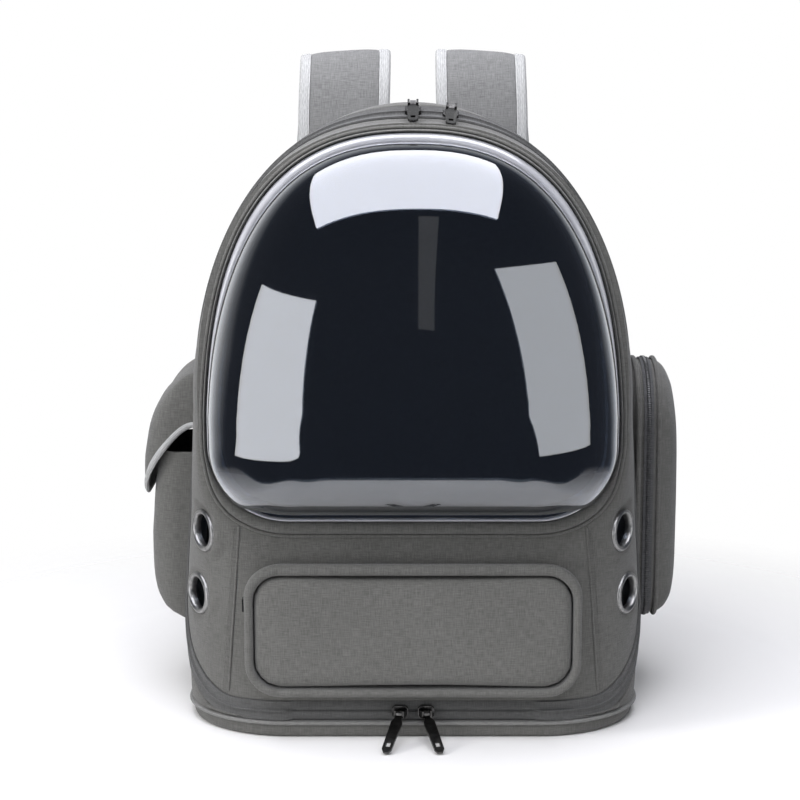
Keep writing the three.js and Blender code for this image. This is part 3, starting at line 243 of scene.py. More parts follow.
def piece(name, bm, material, nodes=(), body="pack", sharp=50):
    """A finished object at the origin that rides on its body and stands for its nodes."""
    mesh = bpy.data.meshes.new(name)
    bm.to_mesh(mesh)
    bm.free()
    mesh.materials.append(material)
    mesh.shade_smooth()
    mesh.set_sharp_from_angle(angle=math.radians(sharp))
    obj = bpy.data.objects.new(name, mesh)
    scene.collection.objects.link(obj)
    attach(obj, body)
    if nodes:
        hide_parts(*nodes)
    size = [round(d / MM, 1) for d in obj.dimensions]
    print(name, len(mesh.polygons), "faces,", size, "mm")
    return obj


def roll_rings(points, outs, radius, sides=10, closed=True, squeeze=1.0):
    """Sections of a round roll along a line; outs says which way each section faces."""
    rings = []
    count = len(points)
    for k, (p, out) in enumerate(zip(points, outs)):
        if closed:
            ahead = points[(k + 1) % count] - points[k - 1]
        else:
            ahead = points[min(k + 1, count - 1)] - points[max(k - 1, 0)]
        ahead.normalize()
        up = (out - ahead * out.dot(ahead)).normalized()
        side = ahead.cross(up)
        rings.append([p + radius * (math.cos(a) * up * squeeze + math.sin(a) * side)
                      for a in (2 * math.pi * i / sides for i in range(sides))])
    return rings + [rings[0]] if closed else rings


def roll(points, outs, radius, sides=10, closed=True, squeeze=1.0):
    bm = sweep(roll_rings(points, outs, radius, sides, closed, squeeze))
    if not closed:
        close_ends(bm)
    return bm


def beads(places, length, radius):
    """A row of small rounded beads, such as stitches or zip teeth: (place, along, out)."""
    one = bmesh.new()
    bmesh.ops.create_uvsphere(one, u_segments=6, v_segments=4, radius=1,
                              matrix=Matrix.Rotation(math.pi / 2, 4, "Y"))
    one.verts.index_update()
    shape = [vert.co.copy() for vert in one.verts]
    faces = [[vert.index for vert in face.verts] for face in one.faces]
    one.free()
    corners, sides = [], []
    for place, along, out in places:
        ahead = along.normalized()
        up = (out - ahead * out.dot(ahead)).normalized()
        side = up.cross(ahead)
        start = len(corners)
        for co in shape:
            local = ahead * (co.x * length / 2) + side * (co.y * radius) + up * (co.z * radius)
            corners.append((place + local) * MM)
        sides += [[start + k for k in face] for face in faces]
    mesh = bpy.data.meshes.new("beads")
    mesh.from_pydata(corners, [], sides)
    bm = bmesh.new()
    bm.from_mesh(mesh)
    bpy.data.meshes.remove(mesh)
    return bm


def stitch_places(points, outs, pitch, closed=False, lift=0.0):
    """Places for stitches along a line, one every pitch."""
    line = points + [points[0]] if closed else points
    facing = outs + [outs[0]] if closed else outs
    places, carry = [], pitch / 2
    for a, b, out in zip(line, line[1:], facing):
        span = (b - a).length
        while carry < span:
            places.append((a.lerp(b, carry / span) + out * lift, b - a, out))
            carry += pitch
        carry -= span
    return places


print("helpers ready")

# %% [markdown]
# ## Cloth that is woven from mixed grey yarns
# The walls are a heathered polyester: each yarn is spun from lighter and darker fibres, so
# the cloth shows short streaks along both thread directions. The streaks are noise, drawn
# out along one axis for the warp and the other for the weft. The pattern is projected from
# the side that each wall faces, so it needs no UV map and hardly stretches.


# %% Make the cloth materials
def colour_socket(shader, colour):
    shader.inputs["Base Color"].default_value = (*colour, 1)


def new_material(name):
    material = bpy.data.materials.new(name)
    material.use_nodes = True
    return material, material.node_tree, material.node_tree.nodes["Principled BSDF"]


def math_node(tree, operation, a, b=None):
    node = tree.nodes.new("ShaderNodeMath")
    node.operation = operation
    for socket, value in zip(node.inputs, (a, b)):
        if value is None:
            continue
        if isinstance(value, (int, float)):
            socket.default_value = value
        else:
            tree.links.new(value, socket)
    return node.outputs[0]


def cloth_plane(tree):
    """Coordinates (across, up) on the cloth, taken from the side that it faces."""
    where = tree.nodes.new("ShaderNodeTexCoord")
    facing = tree.nodes.new("ShaderNodeNewGeometry")
    place = tree.nodes.new("ShaderNodeSeparateXYZ")
    normal = tree.nodes.new("ShaderNodeSeparateXYZ")
    tree.links.new(where.outputs["Object"], place.inputs[0])
    tree.links.new(facing.outputs["Normal"], normal.inputs[0])
    nx, ny, nz = (math_node(tree, "ABSOLUTE", normal.outputs[i]) for i in range(3))
    sideways = math_node(tree, "GREATER_THAN", nx, ny)
    widest = math_node(tree, "MAXIMUM", nx, ny)
    level = math_node(tree, "GREATER_THAN", nz, widest)
    x, y, z = place.outputs[0], place.outputs[1], place.outputs[2]

    def choose(factor, a, b):
        node = tree.nodes.new("ShaderNodeMix")
        tree.links.new(factor, node.inputs[0])
        tree.links.new(a, node.inputs[2])
        tree.links.new(b, node.inputs[3])
        return node.outputs[0]

    return choose(level, choose(sideways, x, y), x), choose(level, z, y)


def streaks(tree, across, up, long, short, detail=2.0):
    """Noise that is drawn out along the first coordinate."""
    joined = tree.nodes.new("ShaderNodeCombineXYZ")
    tree.links.new(math_node(tree, "MULTIPLY", across, 1 / (long * MM)), joined.inputs[0])
    tree.links.new(math_node(tree, "MULTIPLY", up, 1 / (short * MM)), joined.inputs[1])
    node = tree.nodes.new("ShaderNodeTexNoise")
    node.inputs["Scale"].default_value = 1
    node.inputs["Detail"].default_value = detail
    tree.links.new(joined.outputs[0], node.inputs["Vector"])
    return node.outputs[0]


def ramp(tree, factor, stops):
    node = tree.nodes.new("ShaderNodeValToRGB")
    node.color_ramp.elements[0].position = stops[0][0]
    node.color_ramp.elements[0].color = (*stops[0][1], 1)
    node.color_ramp.elements[1].position = stops[-1][0]
    node.color_ramp.elements[1].color = (*stops[-1][1], 1)
    for position, colour in stops[1:-1]:
        node.color_ramp.elements.new(position).color = (*colour, 1)
    tree.links.new(factor, node.inputs[0])
    return node.outputs[0]


def bump(tree, shader, height, strength, distance):
    node = tree.nodes.new("ShaderNodeBump")
    node.inputs["Strength"].default_value = strength
    node.inputs["Distance"].default_value = distance * MM
    tree.links.new(height, node.inputs["Height"])
    tree.links.new(node.outputs[0], shader.inputs["Normal"])


def weave(tree, across, up, pitch):
    """Plain weave: crossing waves, one thread over and one under."""
    waves = []
    for axis in (across, up):
        scaled = math_node(tree, "MULTIPLY", axis, 2 * math.pi / (pitch * MM))
        waves.append(math_node(tree, "SINE", scaled))
    return math_node(tree, "MULTIPLY", waves[0], waves[1])


def heather_cloth(name, dark, light, pitch=1.1, contrast=0.11):
    material, tree, shader = new_material(name)
    across, up = cloth_plane(tree)
    weft = streaks(tree, across, up, 7, 0.55)
    warp = streaks(tree, up, across, 7, 0.55)
    yarn = math_node(tree, "MULTIPLY", math_node(tree, "ADD", weft, warp), 0.5)
    patches = streaks(tree, across, up, 60, 60, 1)
    mixed = math_node(tree, "ADD", yarn, math_node(tree, "MULTIPLY", patches, 0.12))
    colour = ramp(tree, mixed, [(0.56 - contrast, dark), (0.56 + contrast, light)])
    tree.links.new(colour, shader.inputs["Base Color"])
    threads = weave(tree, across, up, pitch)
    height = math_node(tree, "ADD", threads, math_node(tree, "MULTIPLY", yarn, 2.0))
    bump(tree, shader, height, 0.5, 0.25)
    shader.inputs["Roughness"].default_value = 0.92
    shader.inputs["Specular IOR Level"].default_value = 0.2
    shader.inputs["Sheen Weight"].default_value = 0.15
    shader.inputs["Sheen Roughness"].default_value = 0.5
    return material


def grosgrain(name, dark, light, rib=1.6, run="u"):
    """Ribbed tape: fine ribs across its length, read from the piece's own UV map."""
    material, tree, shader = new_material(name)
    where = tree.nodes.new("ShaderNodeTexCoord")
    place = tree.nodes.new("ShaderNodeSeparateXYZ")
    tree.links.new(where.outputs["UV"], place.inputs[0])
    along = place.outputs[0] if run == "u" else place.outputs[1]
    other = place.outputs[1] if run == "u" else place.outputs[0]
    ribs = math_node(tree, "SINE", math_node(tree, "MULTIPLY", along, 2 * math.pi / (rib * MM)))
    fibres = streaks(tree, other, along, 4, 0.5)
    mixed = math_node(tree, "ADD", math_node(tree, "MULTIPLY", ribs, 0.06), fibres)
    colour = ramp(tree, mixed, [(0.35, dark), (0.65, light)])
    tree.links.new(colour, shader.inputs["Base Color"])
    bump(tree, shader, ribs, 0.4, 0.2)
    shader.inputs["Roughness"].default_value = 0.85
    shader.inputs["Sheen Weight"].default_value = 0.1
    return material


def air_mesh(name, dark, light):
    """Spacer mesh: rows of small round holes in a soft knitted face."""
    material, tree, shader = new_material(name)
    across, up = cloth_plane(tree)
    joined = tree.nodes.new("ShaderNodeCombineXYZ")
    tree.links.new(across, joined.inputs[0])
    tree.links.new(up, joined.inputs[1])
    holes = tree.nodes.new("ShaderNodeTexVoronoi")
    holes.inputs["Scale"].default_value = 330
    holes.inputs["Randomness"].default_value = 0.25
    tree.links.new(joined.outputs[0], holes.inputs["Vector"])
    colour = ramp(tree, holes.outputs["Distance"], [(0.18, dark), (0.42, light)])
    tree.links.new(colour, shader.inputs["Base Color"])
    bump(tree, shader, holes.outputs["Distance"], 0.6, 0.6)
    shader.inputs["Roughness"].default_value = 0.95
    shader.inputs["Sheen Weight"].default_value = 0.2
    return material


AIR_MESH = air_mesh("air_mesh", (0.02, 0.02, 0.02), (0.12, 0.119, 0.116))
WALL_CLOTH = heather_cloth("wall_cloth", (0.070, 0.0685, 0.063), (0.112, 0.110, 0.102))
# The strap cloth is a lighter copy of the wall cloth: painted light for the extra light that falls on the straps.
STRAP_CLOTH_PAINTED_LIGHT = heather_cloth("strap_cloth_painted_light", (0.10, 0.0995, 0.097), (0.165, 0.164, 0.16),
                            contrast=0.13)
PIPING_CLOTH = heather_cloth("piping_cloth", (0.070, 0.0685, 0.063), (0.116, 0.114, 0.106), 0.7)
LIP_CLOTH = heather_cloth("zip_lip_cloth", (0.055, 0.0545, 0.053), (0.09, 0.0895, 0.087), 0.7)
BASE_TAPE = grosgrain("base_tape", (0.11, 0.109, 0.103), (0.17, 0.168, 0.16))
LIGHT_TAPE = grosgrain("light_tape", (0.23, 0.23, 0.225), (0.34, 0.34, 0.333))
ZIP_CLOTH = grosgrain("zip_cloth", (0.025, 0.025, 0.026), (0.07, 0.07, 0.072), 1.0)
WEBBING_CLOTH = grosgrain("webbing_cloth", (0.03, 0.03, 0.031), (0.085, 0.085, 0.086), 2.2, "v")
print("cloths:", [m.name for m in bpy.data.materials])

# %% [markdown]
# ## Plated metal, nylon and the smoked bubble
# The eyelets are polished steel and the zip ends are dark plated zinc, which shows a soft
# grain. The bubble is moulded from smoked clear plastic. Its tint sits in
# the colour that light takes as it passes through, so the rim and the lower wall look
# paler than the middle, where the dark inside of the bag shows.


# %% Make the hard materials
def plated(name, dark, light, roughness, grain=0.5):
    material, tree, shader = new_material(name)
    where = tree.nodes.new("ShaderNodeTexCoord")
    node = tree.nodes.new("ShaderNodeTexNoise")
    node.inputs["Scale"].default_value = 350
    node.inputs["Detail"].default_value = 4
    tree.links.new(where.outputs["Object"], node.inputs["Vector"])
    colour = ramp(tree, node.outputs[0], [(0.3, dark), (0.7, light)])
    tree.links.new(colour, shader.inputs["Base Color"])
    rough = math_node(tree, "MULTIPLY", node.outputs[0], grain * roughness)
    tree.links.new(math_node(tree, "ADD", rough, roughness * 0.75), shader.inputs["Roughness"])
    bump(tree, shader, node.outputs[0], 0.12, 0.1)
    shader.inputs["Metallic"].default_value = 1
    return material


def moulded(name, colour, roughness):
    material, tree, shader = new_material(name)
    where = tree.nodes.new("ShaderNodeTexCoord")
    node = tree.nodes.new("ShaderNodeTexNoise")
    node.inputs["Scale"].default_value = 900
    tree.links.new(where.outputs["Object"], node.inputs["Vector"])
    lighter = tuple(c * 1.5 for c in colour)
    mixed = ramp(tree, node.outputs[0], [(0.3, colour), (0.7, lighter)])
    tree.links.new(mixed, shader.inputs["Base Color"])
    bump(tree, shader, node.outputs[0], 0.25, 0.15)
    shader.inputs["Roughness"].default_value = roughness
    return material


def smoked_plastic():
    material, tree, shader = new_material("smoked_plastic")
    colour_socket(shader, (0.27, 0.31, 0.38))
    shader.inputs["Roughness"].default_value = 0.03
    shader.inputs["Transmission Weight"].default_value = 1.0
    shader.inputs["IOR"].default_value = 1.5
    shader.inputs["Specular IOR Level"].default_value = 1.0
    shader.inputs["Coat Weight"].default_value = 1.0
    shader.inputs["Coat IOR"].default_value = 1.8
    shader.inputs["Coat Roughness"].default_value = 0.02
    where = tree.nodes.new("ShaderNodeTexCoord")
    node = tree.nodes.new("ShaderNodeTexNoise")
    node.inputs["Scale"].default_value = 9
    node.inputs["Detail"].default_value = 1
    tree.links.new(where.outputs["Object"], node.inputs["Vector"])
    bump(tree, shader, node.outputs[0], 0.15, 1.0)
    return material


def clear_plastic():
    """The solid bead at the bubble's edge, which gathers light: its pale grey base colour is a painted highlight.
    """
    material, tree, shader = new_material("clear_bead_painted_highlight")
    where = tree.nodes.new("ShaderNodeTexCoord")
    node = tree.nodes.new("ShaderNodeTexNoise")
    node.inputs["Scale"].default_value = 40
    tree.links.new(where.outputs["Object"], node.inputs["Vector"])
    # Pale grey base colour with low transmission: a painted highlight along the clear bead.
    painted_highlight = ramp(tree, node.outputs[0], [(0.3, (0.50, 0.50, 0.52)), (0.7, (0.60, 0.60, 0.62))])
    tree.links.new(painted_highlight, shader.inputs["Base Color"])
    shader.inputs["Roughness"].default_value = 0.12
    shader.inputs["Transmission Weight"].default_value = 0.35
    shader.inputs["Specular IOR Level"].default_value = 1.0
    shader.inputs["Coat Weight"].default_value = 1.0
    shader.inputs["Coat Roughness"].default_value = 0.05
    return material


STEEL = plated("brushed_steel", (0.20, 0.20, 0.195), (0.34, 0.335, 0.33), 0.36)
GUNMETAL = plated("dark_plating", (0.035, 0.034, 0.033), (0.10, 0.098, 0.095), 0.24)
NYLON = plated("zip_nylon", (0.06, 0.06, 0.06), (0.14, 0.14, 0.14), 0.4)
ACETAL = moulded("moulded_acetal", (0.018, 0.018, 0.019), 0.5)
SMOKE = smoked_plastic()
CLEAR = clear_plastic()
print("hard finishes:", STEEL.name, GUNMETAL.name, NYLON.name, ACETAL.name, SMOKE.name)

# %% [markdown]
# ## The outline of the bag
# Seen from the front the bag is an arch on slightly swelling sides. Its front panel is
# narrower, and the corner between them is a quarter round. Every place on the walls is
# found from two numbers: how far along the arch, and how far back.

# %% Outlines of the body
SIDE_COUNT, ARCH_COUNT, HALF_COUNT = 60, 120, 110


def body_outlines():
    """Matching points of the main and the front outline, from lower right to lower left."""
    half = []
    for k in range(SIDE_COUNT):
        share = k / SIDE_COUNT
        z = ARCH_Z * share
        half.append((HALF_WIDTH * read(SIDE_MAIN, share), z,
                     FRONT_HALF_WIDTH * read(SIDE_FRONT, share), z))
    for k in range(ARCH_COUNT + 1):
        angle = math.pi / 2 * k / ARCH_COUNT
        up, across = math.sin(angle), max(math.cos(angle), 0)
        half.append((HALF_WIDTH * across ** (2 / ARCH_POWER),
                     ARCH_Z + ARCH_RISE * up ** (2 / ARCH_POWER),
                     FRONT_HALF_WIDTH * across ** (2 / DOME_POWER),
                     ARCH_Z + FRONT_RISE * up ** (2 / DOME_POWER)))
    lengths = [0.0]
    for a, b in zip(half, half[1:]):
        lengths.append(lengths[-1] + math.hypot(b[0] - a[0], b[1] - a[1]))
    out, k = [], 0
    for i in range(HALF_COUNT + 1):
        target = lengths[-1] * i / HALF_COUNT
        while k < len(lengths) - 2 and lengths[k + 1] < target:
            k += 1
        t = clamp((target - lengths[k]) / max(lengths[k + 1] - lengths[k], 1e-9))
        out.append(tuple(lerp(a, b, t) for a, b in zip(half[k], half[k + 1])))
    left = [(-a, b, -c, d) for a, b, c, d in reversed(out[:-1])]
    return out + left


OUTLINE = body_outlines()
LAST = len(OUTLINE) - 1


def place_at(t):
    """Main and front outline points at a place along the arch, which may lie between two."""
    k = min(int(t), LAST - 1)
    return tuple(lerp(a, b, t - k) for a, b in zip(OUTLINE[k], OUTLINE[k + 1]))


def body_point(t, y):
    mx, mz, px, pz = place_at(t)
    share = clamp((y - FRONT_Y) / CORNER_DEPTH)
    corner = math.sqrt(max(0.0, 1 - (1 - share) ** 2))
    blend = ease(pz, ARCH_Z * 1.1, ARCH_Z * 1.5)
    k = lerp(corner, ease(share, *TOP_STEP), blend)
    behind = clamp((y - CORNER_Y) / (BACK_Y - CORNER_Y))
    drop = BACK_DROP * behind * max(0.0, mz - ARCH_Z) / ARCH_RISE
    near = clamp((y - (BACK_Y - BACK_ROUND)) / BACK_ROUND)
    inset = BACK_INSET * (1 - math.sqrt(max(0.0, 1 - near ** 2)))
    if inset:
        reach = math.hypot(mx, max(mz - ARCH_Z, 0)) or 1
        mx -= mx / reach * inset
        mz -= max(mz - ARCH_Z, 0) / reach * inset
    return Vector((lerp(px, mx, k), y, lerp(pz, mz - drop, k)))


def body_normal(t, y):
    """Direction straight out of the wall."""
    step_t, step_y = 0.6, 1.2
    low, high = max(t - step_t, 0), min(t + step_t, LAST)
    along = body_point(high, y) - body_point(low, y)
    ahead, behind = max(y - step_y, FRONT_Y), min(y + step_y, BACK_Y)
    back = body_point(t, behind) - body_point(t, ahead)
    return back.cross(along).normalized() * -1


print("the arch's top is at", round(body_point(HALF_COUNT, 0).z, 1),
      "normal", body_normal(HALF_COUNT, 0))

# %% [markdown]
# ## The line of the main zip
# The zip lies along the foot of the front, turns up round each lower corner and runs over
# the top, so the whole front opens. From the side it is one smooth line. Lines beside it,
# at a set distance, are where the walls are sewn to its tape.

# %% Zip lines
ZIP_POINTS = [Vector((FRONT_Y + BODY_DEPTH * back, BODY_HEIGHT * up, 0)) for back, up in ZIP_LINE]
ZIP_Z = ZIP_POINTS[0].y
ZIP_SIDE = [spline(ZIP_POINTS, k / 400) for k in range(401)]


def side_line(offset):
    """The zip's line from the side, moved towards the front by an offset, as (y, z)."""
    line = []
    for a, b in zip(ZIP_SIDE, ZIP_SIDE[1:]):
        ahead = (b - a).normalized()
        line.append((a.x - ahead.y * offset, a.y + ahead.x * offset))
    return [p for p in line if p[0] >= FRONT_Y]


def height_on_front(z):
    """Place along the arch where the front outline reaches a height."""
    k = next(i for i in range(LAST) if OUTLINE[i + 1][3] >= z)
    a, b = OUTLINE[k][3], OUTLINE[k + 1][3]
    return k + (z - a) / (b - a)


FOOT_COUNT, ARCH_PLACES, ARCH_TRIES = 20, 150, 120
ZIP_STRAIGHT_Z = 200
ZIP_FOUND = {}


def zip_places(offset):
    """Places (t, y) beside the zip, from the middle of the foot to the top; no t on the foot."""
    if offset in ZIP_FOUND:
        return ZIP_FOUND[offset]
    line = side_line(offset)
    heights = [z for _, z in line]
    low = ZIP_Z + offset

    def depth(z):
        k = min(max(bisect.bisect(heights, z), 1), len(line) - 1)
        (y0, z0), (y1, z1) = line[k - 1], line[k]
        return lerp(y0, y1, clamp((z - z0) / max(z1 - z0, 1e-9)))

    start = height_on_front(low)
    foot = body_point(start, FRONT_Y)
    path = [(start, FRONT_Y)]
    path += [(height_on_front(z), y) for y, z in line if low + 0.01 < z < ZIP_STRAIGHT_Z]
    side_top = path[-1][0]
    for k in range(1, ARCH_TRIES + 1):
        t, y = lerp(side_top, HALF_COUNT, k / ARCH_TRIES), path[-1][1]
        for _ in range(12):
            y = depth(body_point(t, y).z)
        path.append((t, y))
    lengths = [0.0]
    for a, b in zip(path, path[1:]):
        lengths.append(lengths[-1] + (body_point(*b) - body_point(*a)).length)
    places = [(None, Vector((foot.x * k / FOOT_COUNT, FRONT_Y, low))) for k in range(FOOT_COUNT)]
    for k in range(ARCH_PLACES + 1):
        target = lengths[-1] * k / ARCH_PLACES
        n = min(max(bisect.bisect(lengths, target), 1), len(path) - 1)
        share = clamp((target - lengths[n - 1]) / max(lengths[n] - lengths[n - 1], 1e-9))
        (t0, y0), (t1, y1) = path[n - 1], path[n]
        places.append((lerp(t0, t1, share), lerp(y0, y1, share)))
    ZIP_FOUND[offset] = places
    return places


def mirror_loop(half):
    """Close a half line, from the middle of the foot to the top, with its mirror image."""
    return half + [Vector((-p.x, p.y, p.z)) for p in reversed(half[1:-1])]


def zip_loop(offset, out=0.0):
    """Closed line beside the zip, lifted off the wall, with the direction out of the wall."""
    half, facing = [], []
    for t, y in zip_places(offset):
        normal = Vector((0, -1, 0)) if t is None else body_normal(t, y)
        if t is not None and t > HALF_COUNT - 1e-6:
            normal.x = 0
        point = y if t is None else body_point(t, y)
        half.append(point + normal * out)
        facing.append(normal)
    return mirror_loop(half), mirror_loop(facing)


loop, _ = zip_loop(0)
zip_length = sum((a - b).length for a, b in zip(loop, loop[1:] + loop[:1]))
print("the zip is", round(zip_length), "mm long")

# %% [markdown]
# ## The dome's outline
# The bubble has a straight sill, round lower corners and a full arch. The same outline
# places the bubble, the rolled edge round it and the hole in the front wall.


# %% Dome outline
def dome_outline():
    half = [Vector((x * (DOME_HALF_WIDTH - DOME_CORNER) / 16, DOME_BOTTOM_Z, 0)) for x in range(16)]
    for k in range(20):
        angle = math.pi / 2 * (k / 20 - 1)
        half.append(Vector((DOME_HALF_WIDTH - DOME_CORNER + DOME_CORNER * math.cos(angle),
                            DOME_BOTTOM_Z + DOME_CORNER + DOME_CORNER * math.sin(angle), 0)))
    for k in range(121):
        angle = math.pi / 2 * k / 120
        up = math.sin(angle) ** (2 / DOME_POWER)
        lean = 1 - DOME_LEAN * 4 * up * (1 - up)
        across = max(math.cos(angle), 0) ** (2 / DOME_POWER)
        half.append(Vector((DOME_HALF_WIDTH * across * lean, ARCH_Z + DOME_RISE * up, 0)))
    half = even(half, 90)
    return half + [Vector((-p.x, p.y, 0)) for p in reversed(half[1:-1])]


DOME = dome_outline()


def outward(outline):
    """Outward directions of a closed outline that runs anticlockwise."""
    count = len(outline)
    found = []
    for i in range(count):
        ahead = (outline[(i + 1) % count] - outline[i - 1]).normalized()
        found.append(Vector((ahead.y, -ahead.x, 0)))
    return found


DOME_OUT = outward(DOME)


def dome_ring(offset, y):
    """The dome's outline moved outwards, at a depth; the offset may change with height."""
    moved = []
    for p, out in zip(DOME, DOME_OUT):
        q = p + out * (offset(p.y) if callable(offset) else offset)
        moved.append(Vector((q.x, y, q.y)))
    return moved


HOLE = dome_ring(-5, FRONT_Y)


def hole_at(x, z):
    """Place on the edge of the hole in the front wall, in the direction of a point."""
    wanted = math.atan2(x, z - ARCH_Z)
    best = None
    for a, b in zip(HOLE, HOLE[1:] + HOLE[:1]):
        low, high = math.atan2(a.x, a.z - ARCH_Z), math.atan2(b.x, b.z - ARCH_Z)
        if abs(low - high) > math.pi:
            continue
        if min(low, high) - 1e-9 <= wanted <= max(low, high) + 1e-9:
            best = a.lerp(b, (wanted - low) / ((high - low) or 1))
            break
    return best or Vector((0, FRONT_Y, HOLE[0].z))


print("dome outline", len(DOME), "points, lowest", round(min(p.y for p in DOME), 1))

# %% [markdown]
# ## The front wall
# The front wall is one ring of cloth between the hole for the bubble and the zip. Each
# line of it runs from the hole straight out over the flat panel, and then back round the
# corner. A little noise lets the cloth ripple as it does over thin foam, and dies out at
# the seams.

# %% Front wall
ZIP_HALF = 7
FLAT_ROWS, SIDE_ROWS = 12, 18
WALL_ROWS = FLAT_ROWS + SIDE_ROWS
RIPPLE_CENTRE_Z = 220


def ripple(point, size, depth):
    """Soft unevenness of cloth over foam."""
    p = point / size
    return depth * (noise.noise(p) + 0.4 * noise.noise(p * 2.3))


def wall_path(t, y, crossing):
    """One line of the front wall, from the hole over the panel's edge to the zip, in even rows."""
    if t is None:
        start = hole_at(y.x, y.z)
        return [start.lerp(y, k / WALL_ROWS) for k in range(WALL_ROWS + 1)]
    edge = body_point(crossing, FRONT_Y)
    start = hole_at(edge.x, edge.z)
    shares = [(k / 40) ** 1.6 for k in range(41)]
    side = [body_point(lerp(crossing, t, u), lerp(FRONT_Y, y, u)) for u in shares]
    side = even(side, SIDE_ROWS + 1)
    flat_length = (edge - start).length
    side_length = sum((b - a).length for a, b in zip(side, side[1:]))
    share = SIDE_ROWS / WALL_ROWS
    if side_length < share * (flat_length + side_length):
        return even([start, *side], WALL_ROWS + 1)
    return [start.lerp(edge, k / FLAT_ROWS) for k in range(FLAT_ROWS)] + side


front_places = zip_places(ZIP_HALF + GAP)
first_t = front_places[FOOT_COUNT][0]
half_paths = []
for k, (t, y) in enumerate(front_places):
    crossing = lerp(first_t, HALF_COUNT, max(k - FOOT_COUNT, 0) / ARCH_PLACES)
    half_paths.append(wall_path(t, y, crossing))
rows = []
for r in range(WALL_ROWS + 1):
    rows.append(mirror_loop([path[r] for path in half_paths]))
centre = Vector((0, 0, RIPPLE_CENTRE_Z))
for r, ring in enumerate(rows):
    share = r / (len(rows) - 1)
    loose = math.sin(math.pi * share) ** 0.7 if 0 < share < 1 else 0
    for p in ring:
        low = ease(200 - p.z, 0, 120)
        p += (p - centre).normalized() * ripple(p, 55, 1.0) * loose * (0.35 + 0.65 * low)
front_bm = sweep(rows)
print("front wall rows:", len(rows), "of", len(rows[0]))

# %% [markdown]
# Each eyelet clamps the cloth flat round its hole. The cloth is cut finer there, pressed
# to the flange's plane, and opened where the barrel passes through.

# %% Eyelet holes in the front wall
EYELET_OUTER, EYELET_HOLE, EYELET_ANGLE = 15, 11, 57
PRESS_REACH, PRESS_DEPTH = 24, 12
EYELET_HEIGHTS = (("upper", 143), ("lower", 95))
SIDES = (("left", -1), ("right", 1))


def eyelet_place(side, z):
    """Matrix of an eyelet that sits flat on the rounded corner at a height."""
    mx, _, px, _ = place_at(height_on_front(z))
    turn = math.atan(math.tan(math.radians(EYELET_ANGLE)) * (mx - px) / CORNER_DEPTH)
    x, y = lerp(px, mx, math.sin(turn)), CORNER_Y - CORNER_DEPTH * math.cos(turn)
    angle = math.radians(EYELET_ANGLE)
    normal = Vector((side * math.sin(angle), -math.cos(angle), 0))
    level = Vector((0, 0, 1)).cross(normal).normalized()
    turned = Matrix((level, normal.cross(level), normal)).transposed().to_4x4()
    return Matrix.Translation(Vector((side * x, y, z)) * MM) @ turned


for _, side in SIDES:
    for _, z in EYELET_HEIGHTS:
        place = eyelet_place(side, z)
        back = place.inverted()
        near = [f for f in front_bm.faces
                if (back @ f.calc_center_median()).length < (PRESS_REACH + 1) * MM]
        edges = list({e for f in near for e in f.edges})
        bmesh.ops.subdivide_edges(front_bm, edges=edges, cuts=3, use_grid_fill=True)
        for vert in front_bm.verts:
            local = back @ vert.co
            reach = math.hypot(local.x, local.y) / MM
            if reach < PRESS_REACH and abs(local.z) < PRESS_DEPTH * MM:
                loose = ease(reach, EYELET_OUTER + 1, PRESS_REACH)
                local.z = lerp(-0.5 * MM, local.z, loose)
                vert.co = place @ local
        gone = []
        for face in front_bm.faces:
            local = back @ face.calc_center_median()
            reach = math.hypot(local.x, local.y)
            if reach < (EYELET_HOLE + 2) * MM and abs(local.z) < PRESS_DEPTH / 2 * MM:
                gone.append(face)
        bmesh.ops.delete(front_bm, geom=gone, context="FACES")
piece("front_wall", thicken(front_bm, WALL), WALL_CLOTH, ["front_shell"])

# %% [markdown]
# ## The rear wall and the base
# Behind the zip the bag is an open-fronted tub: sides and arch in one length of cloth, a
# flat back, and a base like a shallow tray under the light piping.

# %% Rear wall
BASE_TOP = ZIP_Z - ZIP_HALF - GAP
SIDE_STEPS, ROUND_STEPS, BACK_STEPS = 26, 6, 14


def rear_path(t, y, landing):
    """One line of the rear wall, from the zip to its landing on the back edge and over the back."""
    path = []
    for k in range(SIDE_STEPS):
        share = k / SIDE_STEPS
        along = lerp(t, landing, ease(share, 0, 0.5))
        path.append(body_point(along, lerp(y, BACK_Y - BACK_ROUND, share)))
    t = landing
    for k in range(ROUND_STEPS + 1):
        near = math.sin(math.pi / 2 * k / ROUND_STEPS)
        path.append(body_point(t, BACK_Y - BACK_ROUND + BACK_ROUND * near))
    edge = path[-1]
    target = Vector((0, BACK_Y, BASE_TOP + (edge.z - BASE_TOP) * 0.69))
    path += [edge.lerp(target, k / BACK_STEPS) for k in range(1, BACK_STEPS + 1)]
    return path


rear_half = []
rear_places = zip_places(-ZIP_HALF - GAP)[FOOT_COUNT:]
for k, (t, y) in enumerate(rear_places):
    rear_half.append(rear_path(t, y, lerp(rear_places[0][0], HALF_COUNT, k / ARCH_PLACES)))
rear_rows = []
for r in range(len(rear_half[0])):
    right = [path[r] for path in rear_half]
    rear_rows.append(right + [Vector((-p.x, p.y, p.z)) for p in reversed(right[:-1])])
for r, ring in enumerate(rear_rows):
    loose = ease(r, 0, 5) * (1 - ease(r, SIDE_STEPS, SIDE_STEPS + 4))
    for p in ring:
        rise = ease(p.z, BASE_TOP, BASE_TOP + 30)
        away = (p - Vector((0, p.y, RIPPLE_CENTRE_Z))).normalized()
        p += away * ripple(p, 70, 1.1) * loose * rise
piece("rear_wall", sweep(rear_rows, around=False, wall=WALL), WALL_CLOTH,
      ["rear_shell"])

# %% Base tray


